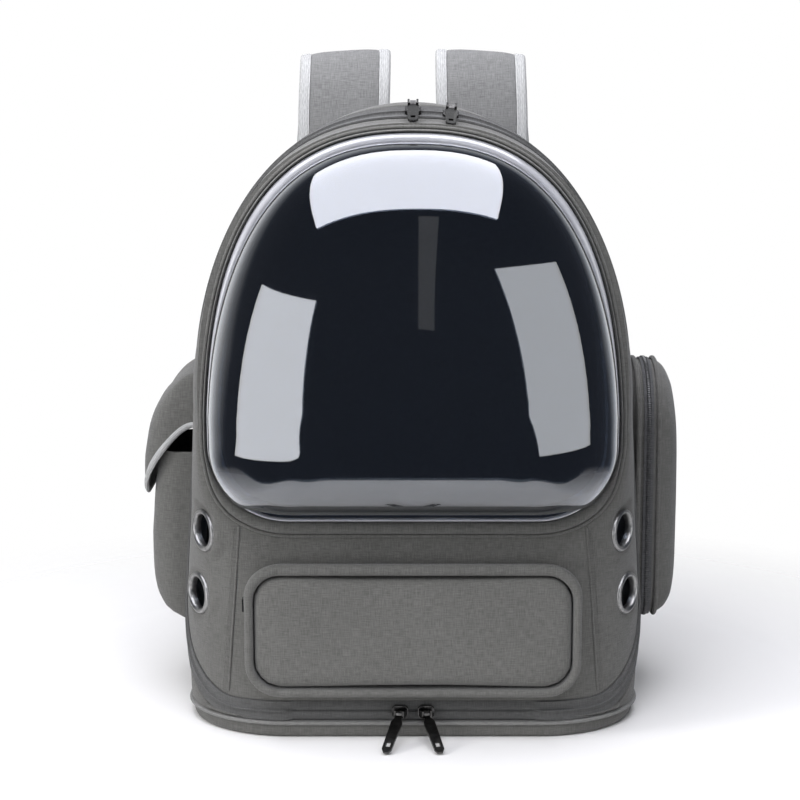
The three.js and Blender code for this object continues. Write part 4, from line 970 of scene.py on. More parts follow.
def plan_half(z, inset=0.0):
    """Half of the body's plan at a height, from the middle of the front to that of the back."""
    mx, _, px, _ = place_at(height_on_front(z) if z > 0 else 0)
    mx, px = mx - inset, px - inset * 0.5
    front, back = FRONT_Y + inset, BACK_Y - inset
    line = [Vector((px * k / 12, front, z)) for k in range(12)]
    for k in range(16):
        angle = math.pi / 2 * k / 16
        line.append(Vector((px + (mx - px) * math.sin(angle),
                            front + (CORNER_Y - front) * (1 - math.cos(angle)), z)))
    line += [Vector((mx, lerp(CORNER_Y, back - BACK_ROUND, k / 14), z)) for k in range(14)]
    for k in range(8):
        angle = math.pi / 2 * k / 8
        line.append(Vector((mx - BACK_INSET * (1 - math.cos(angle)),
                            back - BACK_ROUND * (1 - math.sin(angle)), z)))
    line += [Vector((lerp(mx - BACK_INSET, 0, k / 10), back, z)) for k in range(11)]
    return line


tray_rows = [mirror_loop(plan_half(z, inset)) for z, inset in
             [(BASE_TOP, 0), (8, 0), (4, 0), (1.6, 0.2), (0.5, 0.9), (0, 2.2), (0, 14), (0, 60)]]
tray = sweep(tray_rows)
foot_rim = [e for e in tray.edges if e.is_boundary and all(v.co.z < 1e-5 for v in e.verts)]
bmesh.ops.edgeloop_fill(tray, edges=foot_rim)
bmesh.ops.recalc_face_normals(tray, faces=tray.faces)
piece("base_tray", thicken(tray, WALL), WALL_CLOTH, ["rear_shell"])

# %% [markdown]
# ## The zip
# A zip is a woven tape with a nylon coil down its middle. Each turn of the coil shows as a
# small tooth across the line, so the coil is a row of beads of a few faces each. The lips
# of the tape hide it, except over the arch, where it is made.

# %% Zip tape and teeth
TAPE_THICK = 1.2
TAPE_PROFILE = [(-6.6, -1.4), (-5.6, -0.9), (-3.4, -0.5), (-1.4, -0.2), (-0.7, -0.7), (-0.5, -2.0),
                (0.5, -2.0), (0.7, -0.7), (1.4, -0.2), (3.4, -0.5), (5.6, -0.9), (6.6, -1.4)]
tape_rings = [zip_loop(across, lift)[0] for across, lift in TAPE_PROFILE]
piece("zip_tape", sweep(tape_rings, wall=TAPE_THICK), LIP_CLOTH, ["zipper_tape"])

TEETH_FROM_Z = 395
teeth_line, teeth_out = zip_loop(0, 0.0)
teeth = []
for place, ahead, out in stitch_places(teeth_line, teeth_out, 1.7, closed=True, lift=-0.1):
    if place.z > TEETH_FROM_Z:
        teeth.append((place, ahead.cross(out), out))
piece("zip_teeth", beads(teeth, 3.6, 0.72), NYLON)

for side_name, offset in (("front", ZIP_HALF + 3.6), ("rear", -ZIP_HALF - 7.4)):
    line, out = zip_loop(offset, 0.25)
    row = [p for p in stitch_places(line, out, 3.4, closed=True) if p[0].z > BASE_TOP + 4]
    piece(f"zip_stitch_{side_name}", beads(row, 2.3, 0.34), PIPING_CLOTH)

# %% [markdown]
# ## Piping
# Piping is cloth folded round a thin string and sewn into a seam. It keeps its round
# section all the way, so it is a roll along the seam. One runs behind the zip and a paler
# one round the base.

# %% Piping on the body
line, out = zip_loop(-ZIP_HALF - GAP - 2.0, 0.7)
low_cut = BASE_TOP + 3
keep = [k for k in range(len(line)) if line[k].z > low_cut]
arch_bm = roll([line[k] for k in keep], [out[k] for k in keep], 1.7, closed=False)
piece("arch_roll", arch_bm, PIPING_CLOTH, ["arch_piping"])
base_line = mirror_loop(plan_half(10, -0.6))
base_out = []
for k, p in enumerate(base_line):
    ahead = base_line[(k + 1) % len(base_line)] - base_line[k - 1]
    base_out.append(Vector((ahead.y, -ahead.x, 0)).normalized())
piece("base_roll", roll(base_line, base_out, 1.5), BASE_TAPE, ["base_piping"])

# %% [markdown]
# ## The bubble
# The bubble is one moulding: a flat flange under the rolled edge, a small bead, and a full
# pillow shape with a steep side. It is drawn outside and inside, so that it has the real
# thickness of the plastic and bends light as it should.

# %% The bubble
DOME_WALL = 2.5
DOME_CENTRE_Z = DOME_BOTTOM_Z + (ARCH_Z + DOME_RISE - DOME_BOTTOM_Z) * 0.45
BULGE_STEPS = 44


def bulge(offset, depth, share):
    """One ring of the bubble; share runs from 0 at its foot to 1 in the middle of its face."""
    angle = math.pi / 2 * share
    q = max(math.cos(angle), 0) ** (2 / DOME_FULLNESS)
    rise = depth * math.sin(angle) ** (2 / DOME_FULLNESS)
    ring = []
    for p in dome_ring(offset, 0):
        ring.append(Vector((p.x * q, FRONT_Y - GAP - rise,
                            DOME_CENTRE_Z + (p.z - DOME_CENTRE_Z) * q)))
    return ring


def bead_width(z):
    """The bead is widest over the top and thins out down the sides."""
    return lerp(2.4, 7.0, ease(z, 240, 390))


def wall_foot(z):
    """Where the bubble's steep wall starts; along the sill it stands back from the edge."""
    return -0.85 * bead_width(z) - 6.0 * (1 - ease(z, DOME_BOTTOM_Z, DOME_BOTTOM_Z + 14))


FLANGE = 1.4
wall_steps = [(k / BULGE_STEPS) ** 1.25 for k in range(BULGE_STEPS)]
outer_rings = [dome_ring(-0.3, FRONT_Y - GAP), dome_ring(-0.3, FRONT_Y - GAP - FLANGE),
               dome_ring(wall_foot, FRONT_Y - GAP - FLANGE)]
outer_rings += [bulge(wall_foot, DOME_DEPTH, 0.02 + 0.98 * s) for s in wall_steps]
inner_rings = [bulge(lambda z: wall_foot(z) - DOME_WALL, DOME_DEPTH - DOME_WALL, 0.01 + 0.99 * s)
               for s in wall_steps]
bubble_bm = sweep([*reversed(inner_rings), dome_ring(-10, FRONT_Y - GAP), *outer_rings])
close_ends(bubble_bm)
piece("bubble", bubble_bm, SMOKE, ["dome"], sharp=80)

bead_rings = []
for k in range(13):
    angle = math.pi * k / 12
    bead_rings.append(dome_ring(lambda z, a=angle: -0.5 - bead_width(z) * (0.5 - 0.5 * math.cos(a)),
                                FRONT_Y - GAP - FLANGE - 0.1 - 3.8 * math.sin(angle)))
piece("bubble_bead", sweep(bead_rings + [bead_rings[0]]), CLEAR)

# %% Rolled edge and piping round the bubble
BORDER_TOP, BORDER_BOTTOM, BORDER_HEIGHT, DOME_PIPING = 1.6, 8, 6, 2.4
DOME_HEIGHT = ARCH_Z + DOME_RISE - DOME_BOTTOM_Z


def border_width(z):
    return lerp(BORDER_BOTTOM, BORDER_TOP, ease((z - DOME_BOTTOM_Z) / DOME_HEIGHT, 0.03, 0.17))


def rounded_ring(start, width, height, steps=9):
    """Half-round trim on the front panel, from a start offset outwards."""
    foot = FRONT_Y - GAP
    rings = [dome_ring(start, foot)]
    for k in range(steps):
        angle = math.pi * k / (steps - 1)
        rings.append(dome_ring(
            lambda z, a=angle: start + width(z) * (0.5 - 0.5 * math.cos(a)),
            foot - height * (0.35 + 0.65 * math.sin(angle))))
    rings.append(dome_ring(lambda z: start + width(z), foot))
    return rings + [rings[0]]


piece("dome_edge_roll", sweep(rounded_ring(GAP, border_width, BORDER_HEIGHT - 0.6)),
      PIPING_CLOTH, ["dome_border"])
piping_line = dome_ring(lambda z: 2 * GAP + border_width(z) + DOME_PIPING / 2, FRONT_Y - GAP - 1.3)
piping_outs = [Vector((0, -1, 0))] * len(piping_line)
piece("dome_edge_piping", roll(piping_line, piping_outs, 1.25),
      PIPING_CLOTH, ["dome_piping"])

# %% [markdown]
# ## Cloth that swells over foam
# Pockets and pads are sewn flat and pushed out by what is in them.


# %% Swell a padded piece
SWELL_FRAMES = 20


def swell(bm, voxel, pressure, cap):
    """Remesh a closed form and let cloth pressure round it, moving no point further than cap."""
    mesh = bpy.data.meshes.new("swelling")
    bm.to_mesh(mesh)
    bm.free()
    obj = bpy.data.objects.new("swelling", mesh)
    scene.collection.objects.link(obj)
    bpy.context.view_layer.objects.active = obj
    remesh = obj.modifiers.new("even", "REMESH")
    remesh.mode = "VOXEL"
    remesh.voxel_size = voxel * MM
    graph = bpy.context.evaluated_depsgraph_get()
    even_mesh = bpy.data.meshes.new_from_object(obj.evaluated_get(graph))
    obj.modifiers.clear()
    obj.data = even_mesh
    rest = [v.co.copy() for v in even_mesh.vertices]
    cloth = obj.modifiers.new("cloth", "CLOTH")
    cloth.settings.use_pressure = True
    cloth.settings.uniform_pressure_force = pressure
    cloth.settings.effector_weights.gravity = 0
    cloth.settings.quality = 4
    cloth.settings.tension_stiffness = 25
    cloth.settings.compression_stiffness = 25
    cloth.settings.bending_stiffness = 2
    for step in range(1, SWELL_FRAMES + 1):
        scene.frame_set(step)
    graph = bpy.context.evaluated_depsgraph_get()
    done = bpy.data.meshes.new_from_object(obj.evaluated_get(graph))
    out = bmesh.new()
    out.from_mesh(done)
    for vert, before in zip(out.verts, rest):
        moved = vert.co - before
        if moved.length > cap * MM:
            vert.co = before + moved.normalized() * cap * MM
    bmesh.ops.smooth_vert(out, verts=out.verts, factor=0.5,
                          use_axis_x=True, use_axis_y=True, use_axis_z=True)
    bpy.data.objects.remove(obj)
    scene.frame_set(1)
    return out


def soften(obj):
    """One live subdivision, so that the simulated cloth shows no facets."""
    finish = obj.modifiers.new("soften", "SUBSURF")
    finish.levels = finish.render_levels = 1


print("simulations are", "run")

# %% [markdown]
# ## The front pocket
# A flat pocket with rounded corners stands off the front under the bubble. Its face sits
# inside a thick rounded welt, with a dark groove between them where the seam pulls in.

# %% Front pocket
POCKET_HALF, POCKET_LOW, POCKET_HIGH, POCKET_CORNER, POCKET_DEPTH = 109, 39.5, 118.5, 18, 15
POCKET_FACE_Y = FRONT_Y - POCKET_DEPTH
POCKET_MIDDLE_Z = (POCKET_LOW + POCKET_HIGH) / 2


def rounded_rectangle(half, low, high, radius, steps=10, straight=12):
    """Outline as points (x, z), anticlockwise from the lower right corner."""
    corners = [(half - radius, low + radius, -90), (half - radius, high - radius, 0),
               (-half + radius, high - radius, 90), (-half + radius, low + radius, 180)]
    outline = []
    for x, z, start in corners:
        arc = [Vector((x + radius * math.cos(math.radians(start + 90 * k / steps)),
                       z + radius * math.sin(math.radians(start + 90 * k / steps)), 0))
               for k in range(steps + 1)]
        if outline:
            outline += [outline[-1].lerp(arc[0], k / straight) for k in range(1, straight)]
        outline += arc
    return outline + [outline[-1].lerp(outline[0], k / straight) for k in range(1, straight)]


POCKET = rounded_rectangle(POCKET_HALF, POCKET_LOW, POCKET_HIGH, POCKET_CORNER)
POCKET_OUT = outward(POCKET)


def pocket_ring(offset, y):
    """The pocket's outline moved outwards, a third further along its top for a fuller welt."""
    ring = []
    for p, o in zip(POCKET, POCKET_OUT):
        reach = offset * (1 + 0.35 * ease(p.y, POCKET_HIGH - 22, POCKET_HIGH))
        ring.append(Vector((p.x + o.x * reach, y, p.y + o.y * reach)))
    return ring


def shrunk_ring(draw, y):
    """The pocket's outline drawn in towards its middle."""
    keep_x, keep_z = 1 - draw / POCKET_HALF, 1 - draw / (POCKET_HIGH - POCKET_MIDDLE_Z)
    return [Vector((p.x * keep_x, y, POCKET_MIDDLE_Z + (p.y - POCKET_MIDDLE_Z) * keep_z))
            for p in POCKET]


face_rows = [(0, 0), (0.5, 1.1), (1.6, 2.0), (4, 2.6), (8, 3.1), (14, 3.5), (22, 3.8), (31, 4.0)]
pocket_rings = [shrunk_ring(0, FRONT_Y - 0.4), shrunk_ring(0, POCKET_FACE_Y + 2)]
pocket_rings += [shrunk_ring(draw, POCKET_FACE_Y + 1.4 - rise) for draw, rise in face_rows]
pocket_bm = sweep(pocket_rings)
close_ends(pocket_bm)
pocket_face = piece("pocket_face", swell(pocket_bm, 4, 2.0, 1.5), WALL_CLOTH,
                    ["front_pocket"])
soften(pocket_face)

# %% Welt round the front pocket
WELT = 6
welt_profile = [(0.4, FRONT_Y - 0.4), (0.4, POCKET_FACE_Y + 1.0)]
for k in range(12):
    angle = math.pi * (1.08 - 1.35 * k / 11)
    welt_profile.append((0.5 + WELT / 2 + WELT / 2 * math.cos(angle),
                         POCKET_FACE_Y + 1.8 - 3.6 * math.sin(angle)))
welt_profile += [(WELT * 0.72, POCKET_FACE_Y + 8), (WELT * 0.72, FRONT_Y - 0.4)]
welt_rings = [pocket_ring(offset, y) for offset, y in welt_profile]
piece("pocket_welt", sweep(welt_rings + [welt_rings[0]]), PIPING_CLOTH,
      ["front_pocket_welt"])

# %% [markdown]
# ## Eyelets
# An eyelet is one turned ring: a dished flange that is pressed over the cloth and a short
# barrel through the wall. `spin` turns its profile once round, and a matrix sets it
# square on the rounded corner.

# %% Eyelets
EYELET_PROFILE = [(EYELET_OUTER, -2.6), (EYELET_OUTER, -0.2), (EYELET_OUTER - 0.5, 0.9),
                  (EYELET_OUTER - 1.4, 1.6), (EYELET_OUTER - 2.6, 1.5), (EYELET_HOLE + 0.6, 0.6),
                  (EYELET_HOLE, -0.6), (EYELET_HOLE, -4.0), (EYELET_HOLE + 1, -4.0),
                  (EYELET_HOLE + 1, -2.6)]


def turned_ring(profile, matrix, steps=48):
    bm = bmesh.new()
    verts = [bm.verts.new((r * MM, 0, z * MM)) for r, z in profile]
    edges = [bm.edges.new(pair) for pair in zip(verts, verts[1:] + verts[:1])]
    bmesh.ops.spin(bm, geom=verts + edges, cent=(0, 0, 0), axis=(0, 0, 1), dvec=(0, 0, 0),
                   angle=2 * math.pi, steps=steps, use_merge=True, use_duplicate=False)
    bmesh.ops.remove_doubles(bm, verts=bm.verts, dist=1e-6)
    bmesh.ops.recalc_face_normals(bm, faces=bm.faces)
    bmesh.ops.transform(bm, matrix=matrix, verts=bm.verts)
    return bm


for side_name, side in SIDES:
    for row_name, z in EYELET_HEIGHTS:
        ring_bm = turned_ring(EYELET_PROFILE, eyelet_place(side, z))
        piece(f"ring_{side_name}_{row_name}", ring_bm, STEEL,
              [f"eyelet_{side_name}_{row_name}"], sharp=60)

# %% [markdown]
# ## The left pocket and its hood
# A deep open pouch is sewn to the left side. Its hood starts at the body, arches out over
# the pouch and comes down to a low corner, with pale tape bound round its edge.

# %% Left pouch
SIDE_FRONT_Y, SIDE_BACK_Y, SIDE_REACH, SIDE_STAND = -26.8, 65.2, 191, 38
POUCH_LOW, POUCH_HIGH, POUCH_CORNER = 60, 185, 20
POUCH_TABLE = [(0, 0.5), (0.03, 0.7), (0.08, 0.84), (0.18, 0.95), (0.4, 1), (0.75, 0.97), (1, 0.87)]


def pouch_plan(reach, grow, radius, steps=10):
    """Plan of the pouch as points (x, y), from the body round the front corner to the back."""
    front, back, out = SIDE_FRONT_Y - grow, SIDE_BACK_Y + grow, reach + grow
    inner = HALF_WIDTH + 4
    plan = [Vector((lerp(inner, out - radius, k / 8), front, 0)) for k in range(8)]
    for k in range(steps + 1):
        angle = math.pi / 2 * k / steps
        plan.append(Vector((out - radius + radius * math.sin(angle),
                            front + radius - radius * math.cos(angle), 0)))
    plan += [Vector((out, lerp(front + radius, back - radius, k / 12), 0)) for k in range(1, 12)]
    for k in range(steps + 1):
        angle = math.pi / 2 * k / steps
        plan.append(Vector((out - radius + radius * math.cos(angle),
                            back - radius + radius * math.sin(angle), 0)))
    plan += [Vector((lerp(out - radius, inner, k / 8), back, 0)) for k in range(1, 9)]
    return plan


pouch_rows = []
for k in range(25):
    up = (k / 24) ** 1.15
    out = read(POUCH_TABLE, up)
    z = lerp(POUCH_LOW, POUCH_HIGH, up)
    radius = min(POUCH_CORNER, SIDE_STAND * out * 0.9)
    ring = []
    for p in pouch_plan(HALF_WIDTH + SIDE_STAND * out, 0, radius):
        q = Vector((-p.x, p.y, z))
        loose = ease(p.x, 164, 180) * ease(up, 0, 0.15)
        crease = 2.2 * math.sin(z / 15 + p.y / 17) * ease(up, 0.1, 0.5) * loose
        ring.append(q + Vector((-1, 0, 0)) * (ripple(q, 40, 1.4) * loose + crease * 0.35))
    pouch_rows.append(ring)
bottom = [Vector((lerp(p.x, -HALF_WIDTH - 5, 0.6), lerp(p.y, 19, 0.25), POUCH_LOW - 0.3))
          for p in pouch_rows[0]]
left_pouch = piece("left_pouch", sweep([bottom, *pouch_rows], around=False, wall=2), WALL_CLOTH,
                   ["left_pocket"])

# %% Hood over the left pouch
FLAP_TOP, FLAP_SIDE, FLAP_TIP, FLAP_CLEAR, FLAP_THICK = 243, 208, 154, 2.5, 2.2
FLAP_PLAN = pouch_plan(SIDE_REACH, FLAP_CLEAR + FLAP_THICK, POUCH_CORNER)
FLAP_ACROSS, FLAP_UP = 60, 20
SIDE_MIDDLE_Y = (SIDE_FRONT_Y + SIDE_BACK_Y) / 2
flap_line = even(FLAP_PLAN, FLAP_ACROSS + 1)


def flap_place(k, v, inward=0.0):
    s = k / FLAP_ACROSS
    place = flap_line[k]
    turn = ease(s, 0.18, 0.4) + ease(s, 0.6, 0.82)
    angle = math.radians(-90 + 90 * turn)
    x, y = place.x - math.cos(angle) * inward, place.y - math.sin(angle) * inward
    low = lerp(FLAP_SIDE, FLAP_TIP, ease(1 - abs(2 * s - 1), 0, 0.75))
    bend = math.radians(90 * v)
    to_body = 1 - math.cos(bend)
    inner = HALF_WIDTH + 3
    z = low + (FLAP_TOP - inward - low) * math.sin(bend)
    puff = 2.0 * math.sin(math.pi * v) * math.sin(math.pi * s)
    drawn_in = lerp(y, SIDE_MIDDLE_Y, 0.12)
    return Vector((-lerp(x + puff, inner, to_body), lerp(y, drawn_in, to_body), z))


hood_rows = []
for j in range(FLAP_UP + 1):
    ring = [flap_place(k, j / FLAP_UP) for k in range(FLAP_ACROSS + 1)]
    fade = ease(j / FLAP_UP, 0, 0.2)
    hood_rows.append([p + Vector((-1, 0, 0)) * ripple(p, 35, 1.0) * fade for p in ring])
left_hood = piece("left_hood", sweep(hood_rows, around=False, wall=FLAP_THICK), WALL_CLOTH,
                  ["left_flap"])
binding_points = [flap_place(k, 0, FLAP_THICK / 2) + Vector((0, 0, -1.6))
                  for k in range(FLAP_ACROSS + 1)]
binding_outs = [Vector((0, 0, 1))] * len(binding_points)
piece("hood_binding", roll(binding_points, binding_outs, 1.7, closed=False, squeeze=1.5),
      LIGHT_TAPE, ["left_flap_binding"])

# %% [markdown]
# ## The right pocket
# The right pocket is a padded pillow on a straight gusset, closed by a zip that runs round
# it between two rolls of piping.

# %% Right pocket
RIGHT_LOW, RIGHT_HIGH, RIGHT_GUSSET_X = 61, 246, 179
RIGHT_LENGTH = 92
RIGHT_PILLOW = 14
RIGHT_CENTRE_Z = lerp(RIGHT_LOW, RIGHT_HIGH, 0.42)


def right_outline():
    """The pocket from the side as points (y from its middle, z), anticlockwise."""
    top, foot, half = RIGHT_LENGTH * 0.47, RIGHT_LENGTH * 0.22, RIGHT_LENGTH / 2
    corners = [(half - foot, RIGHT_LOW + foot, foot, -90),
               (half - top, RIGHT_HIGH - top, top, 0),
               (-half + top, RIGHT_HIGH - top, top, 90),
               (-half + foot, RIGHT_LOW + foot, foot, 180)]
    outline = []
    for y, z, radius, start in corners:
        for k in range(13):
            angle = math.radians(start + 90 * k / 12)
            outline.append(Vector((y + radius * math.cos(angle), z + radius * math.sin(angle), 0)))
    return even(outline + [outline[0]], 97)[:-1]


RIGHT = right_outline()
RIGHT_OUT = outward(RIGHT)


def right_ring(x, scale=1.0, offset=0.0):
    ring = []
    for p, o in zip(RIGHT, RIGHT_OUT):
        y, z = p.x + o.x * offset, p.y + o.y * offset
        ring.append(Vector((x, SIDE_MIDDLE_Y + y * scale,
                            RIGHT_CENTRE_Z + (z - RIGHT_CENTRE_Z) * scale)))
    return ring


RIGHT_TABLE = [(0, 1), (0.25, 0.978), (0.42, 0.955), (0.74, 0.86), (0.93, 0.7), (1, 0.45)]
right_rings = [right_ring(x) for x in (HALF_WIDTH + 5, 165, 172, RIGHT_GUSSET_X)]
right_rings += [right_ring(RIGHT_GUSSET_X + RIGHT_PILLOW * out, scale)
                for out, scale in RIGHT_TABLE[1:]]
right_rings += [right_ring(RIGHT_GUSSET_X + RIGHT_PILLOW + 0.2, 0.2)]
right_bm = sweep(right_rings)
close_ends(right_bm)
right_pouch = piece("right_pouch", swell(right_bm, 4.5, 2.5, 2.0), WALL_CLOTH,
                    ["right_pocket"])
soften(right_pouch)

# %% Zip and piping of the right pocket
RIGHT_ZIP_X = 170.4
RIGHT_OUTS = [Vector((0, o.x, o.y)) for o in RIGHT_OUT]


def right_roll(name, x, radius, node, offset=0.6):
    line = right_ring(x, offset=offset)
    return piece(name, roll(line, RIGHT_OUTS, radius), PIPING_CLOTH, [node])


right_roll("right_outer_roll", 177.6, 1.7, "right_pocket_piping")
right_roll("right_inner_roll", 163.0, 1.9, "right_pocket_seam")
zip_band = [right_ring(RIGHT_ZIP_X + dx, offset=lift) for dx, lift in
            [(-3.5, 0.3), (-3.5, 1.2), (-1.2, 1.4), (0, 1.5), (1.2, 1.4), (3.5, 1.2), (3.5, 0.3)]]
piece("right_zip_tape", sweep(zip_band + [zip_band[0]]), ZIP_CLOTH,
      ["right_pocket_zip"])
right_teeth = [(p, Vector((1, 0, 0)), out) for p, _, out in
               stitch_places(right_ring(RIGHT_ZIP_X, offset=1.7), RIGHT_OUTS, 1.6, closed=True)]
piece("right_zip_teeth", beads(right_teeth, 3.4, 0.6), NYLON)

# %% [markdown]
# ## The back panel
# The back is padded with thick foam under mesh cloth, quilted into channels so that air
# can pass. The foam bulges between the sewn lines.

# %% Back panel
PANEL_HALF, PANEL_LOW, PANEL_HIGH, PANEL_THICK, PANEL_CORNER = 118, 42, 345, 9, 34
back_outline = rounded_rectangle(PANEL_HALF, PANEL_LOW, PANEL_HIGH, PANEL_CORNER, 12, 20)
panel_middle_z = (PANEL_LOW + PANEL_HIGH) / 2


def panel_ring(keep, y):
    return [Vector((p.x * keep, y, panel_middle_z + (p.y - panel_middle_z) * keep))
            for p in back_outline]


panel_rings = [panel_ring(1, BACK_Y + GAP), panel_ring(1, BACK_Y + 4),
               panel_ring(0.985, BACK_Y + 7), panel_ring(0.955, BACK_Y + PANEL_THICK)]
panel_rings += [panel_ring(0.955 * (1 - k / 24) + 0.002, BACK_Y + PANEL_THICK + GAP)
                for k in range(1, 25)]
panel_bm = sweep(panel_rings)
close_ends(panel_bm)
panel_bm = swell(panel_bm, 5, 2.0, 1.5)
CHANNELS_X, CHANNELS_Z = (-59, 0, 59), (118, 194, 270)
CHANNEL_WIDTH, CHANNEL_DEPTH = 6, 5.5
for vert in panel_bm.verts:
    if vert.co.y < (BACK_Y + 6) * MM:
        continue
    x, z = vert.co.x / MM, vert.co.z / MM
    groove = 0.0
    for line_x in CHANNELS_X:
        groove += math.exp(-((x - line_x) / CHANNEL_WIDTH) ** 2)
    for line_z in CHANNELS_Z:
        groove += math.exp(-((z - line_z) / CHANNEL_WIDTH) ** 2)
    reach = ease(vert.co.y / MM, BACK_Y + 5, BACK_Y + PANEL_THICK)
    vert.co.y -= min(groove, 1) * reach * CHANNEL_DEPTH * MM
back_pad = piece("back_pad", panel_bm, AIR_MESH, ["back_panel"])
soften(back_pad)

# %% [markdown]
# ## The shoulder straps
# Each strap is a long foam pad with pale tape bound along both edges, and it narrows into
# webbing that runs through an adjuster to a tab low on the back. The straps stand up from
# the back wall and loop over, as they do when nobody wears them.

# %% Strap route
STRAP_WIDTH, STRAP_THICK, STRAP_BINDING, STRAP_X = 70, 8, 8.5, 53
STRAP_SLANT = 0.06
STRAP_ROUTE = [(0, 0.822, 0), (0, 0.9, 0), (0.04, 0.965, 0), (0.17, 1.032, -0.01),
               (0.44, 1.072, -0.01), (0.76, 1.037, 0.01), (0.98, 0.95, 0.05), (1.09, 0.84, 0.12), (1.1, 0.72, 0.22),
               (1.04, 0.62, 0.32), (0.97, 0.55, 0.38)]
WEBBING_ROUTE = [(0.78, 0.4, 0.51), (0.6, 0.3, 0.6), (0.36, 0.2, 0.69), (0.1, 0.125, 0.75)]
SEAT_Y = BACK_Y + GAP + STRAP_THICK / 2


def route(table, side):
    return [Vector((side * (STRAP_X + STRAP_WIDTH * out), SEAT_Y + STRAP_WIDTH * back,
                    BODY_HEIGHT * up))
            for back, up, out in table]


def line_of(points, count):
    return even([spline(points, k / 300) for k in range(301)], count)


def band_rings(line, profile, slant=0.0):
    """Sections of a flat band along a line; its profile is (across, out) and slant tips it."""
    rings = []
    for k, p in enumerate(line):
        ahead = (line[min(k + 1, len(line) - 1)] - line[max(k - 1, 0)]).normalized()
        level = Vector((1, 0, -slant * ease(p.z, BODY_HEIGHT * 0.9, BODY_HEIGHT * 1.03)))
        across = level - ahead * level.dot(ahead)
        across.normalize()
        out = across.cross(ahead)
        rings.append([p + across * a + out * o for a, o in profile])
    return rings


def band(line, profile, slant=0.0):
    bm = sweep(band_rings(line, profile, slant))
    close_ends(bm)
    return bm


def pad_profile(half, thick, crown, steps=16):
    """Rounded section of a foam strap: thick in the middle, pinched at its sewn edges."""
    top = []
    for k in range(steps + 1):
        a = lerp(-half, half, k / steps)
        edge = 1 - abs(a / half) ** 4
        top.append((a, thick * 0.62 + crown * edge))
    return top + [(a, -o) for a, o in reversed(top)]


def binding_profile(inner, outer, thick, steps=8):
    """Tape folded round an edge: two flat sides and a round fold."""
    sign = 1 if outer > inner else -1
    fold = outer - sign * thick
    points = [(inner, -thick), (fold, -thick)]
    for k in range(1, steps):
        angle = math.pi * k / steps - math.pi / 2
        points.append((fold + sign * thick * math.cos(angle), thick * math.sin(angle)))
    return points + [(fold, thick), (inner, thick)]


for side_name, side in SIDES:
    line = line_of(route(STRAP_ROUTE, side), 90)
    slant = side * STRAP_SLANT
    foam = pad_profile(STRAP_WIDTH / 2 - STRAP_BINDING - GAP, STRAP_THICK / 2, 1.4)
    pad = piece(f"pad_{side_name}", band(line, foam, slant),
                STRAP_CLOTH_PAINTED_LIGHT, [f"strap_{side_name}"])
    for edge_name, edge in (("inner", -side), ("outer", side)):
        inner, outer = edge * (STRAP_WIDTH / 2 - STRAP_BINDING), edge * STRAP_WIDTH / 2
        fold = binding_profile(inner, outer, 3.0)
        piece(f"tape_{side_name}_{edge_name}", band(line, fold, slant),
              LIGHT_TAPE, [f"strap_{side_name}_{edge_name}_binding"])
        seam_x = edge * (STRAP_WIDTH / 2 - STRAP_BINDING + 1.6)
        for face_name, lift in (("face", 3.05), ("under", -3.05)):
            pairs = band_rings(line, [(seam_x, 0), (seam_x, lift)], slant)
            seam = [top for _, top in pairs]
            outs = [(top - middle).normalized() for middle, top in pairs]
            piece(f"stitch_{side_name}_{edge_name}_{face_name}",
                  beads(stitch_places(seam, outs, 3.6), 2.6, 0.35), LIGHT_TAPE)
    low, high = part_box(f"adjuster_{side_name}")
    start = (low + high) / 2 / MM
    tab_low, tab_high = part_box(f"anchor_{side_name}")
    tab = (tab_low + tab_high) / 2 / MM
    end = Vector((tab.x, tab_high.y / MM + 1.4, tab.z))
    direction = (line[-1] - line[-3]).normalized()
    web = line_of([start + direction * 12, *route(WEBBING_ROUTE, side), end], 60)
    piece(f"web_{side_name}", band(web, [(-12.5, -0.9), (-12.2, -1.0), (12.2, -1.0), (12.5, -0.9),
                                         (12.5, 0.9), (12.2, 1.0), (-12.2, 1.0), (-12.5, 0.9)]),
          WEBBING_CLOTH, [f"webbing_{side_name}"])
    tab_outline = rounded_rectangle(20, tab.z - 13.5, tab.z + 13.5, 5, 5, 6)
    tab_rings = []
    for keep, rise in [(1, GAP), (1, 2.4), (0.95, 3.2), (0.5, 3.3)]:
        tab_rings.append([Vector((tab.x + p.x * keep, BACK_Y + rise, tab.z + (p.y - tab.z) * keep))
                          for p in tab_outline])
    tab_bm = sweep(tab_rings)
    close_ends(tab_bm)
    piece(f"tab_{side_name}", tab_bm, WALL_CLOTH, [f"anchor_{side_name}"])

# %% [markdown]
# ## Seams and stitches
# Sewn lines are what makes cloth read as cloth. Two upright seams run down the front from
# the bubble to the zip, and a row of stitches follows the edge of each wall.

# %% Panel seams
SEAM_TOP, SEAM_LOW = (119, 150), (129, 30)
for side_name, side in SIDES:
    seam, outs = [], []
    for k in range(31):
        share = k / 30
        x, z = lerp(SEAM_TOP[0], SEAM_LOW[0], share), lerp(SEAM_TOP[1], SEAM_LOW[1], share)
        mx, _, px, _ = place_at(height_on_front(z))
        angle = math.asin(clamp((x - px) / (mx - px)))
        y = CORNER_Y - CORNER_DEPTH * math.cos(angle)
        normal = Vector((side * math.sin(angle) / (mx - px),
                         -math.cos(angle) / CORNER_DEPTH, 0)).normalized()
        seam.append(Vector((side * x, y, z)) + normal * 0.2)
        outs.append(normal)
    piece(f"panel_seam_{side_name}", roll(seam, outs, 0.9, 8, closed=False), WALL_CLOTH)
    stitch_line = [p + Vector((side * 3.4, 1.0, 0)) for p in seam]
    row = stitch_places(stitch_line, outs, 3.4, lift=0.9)
    piece(f"panel_stitch_{side_name}", beads(row, 2.4, 0.32), PIPING_CLOTH)

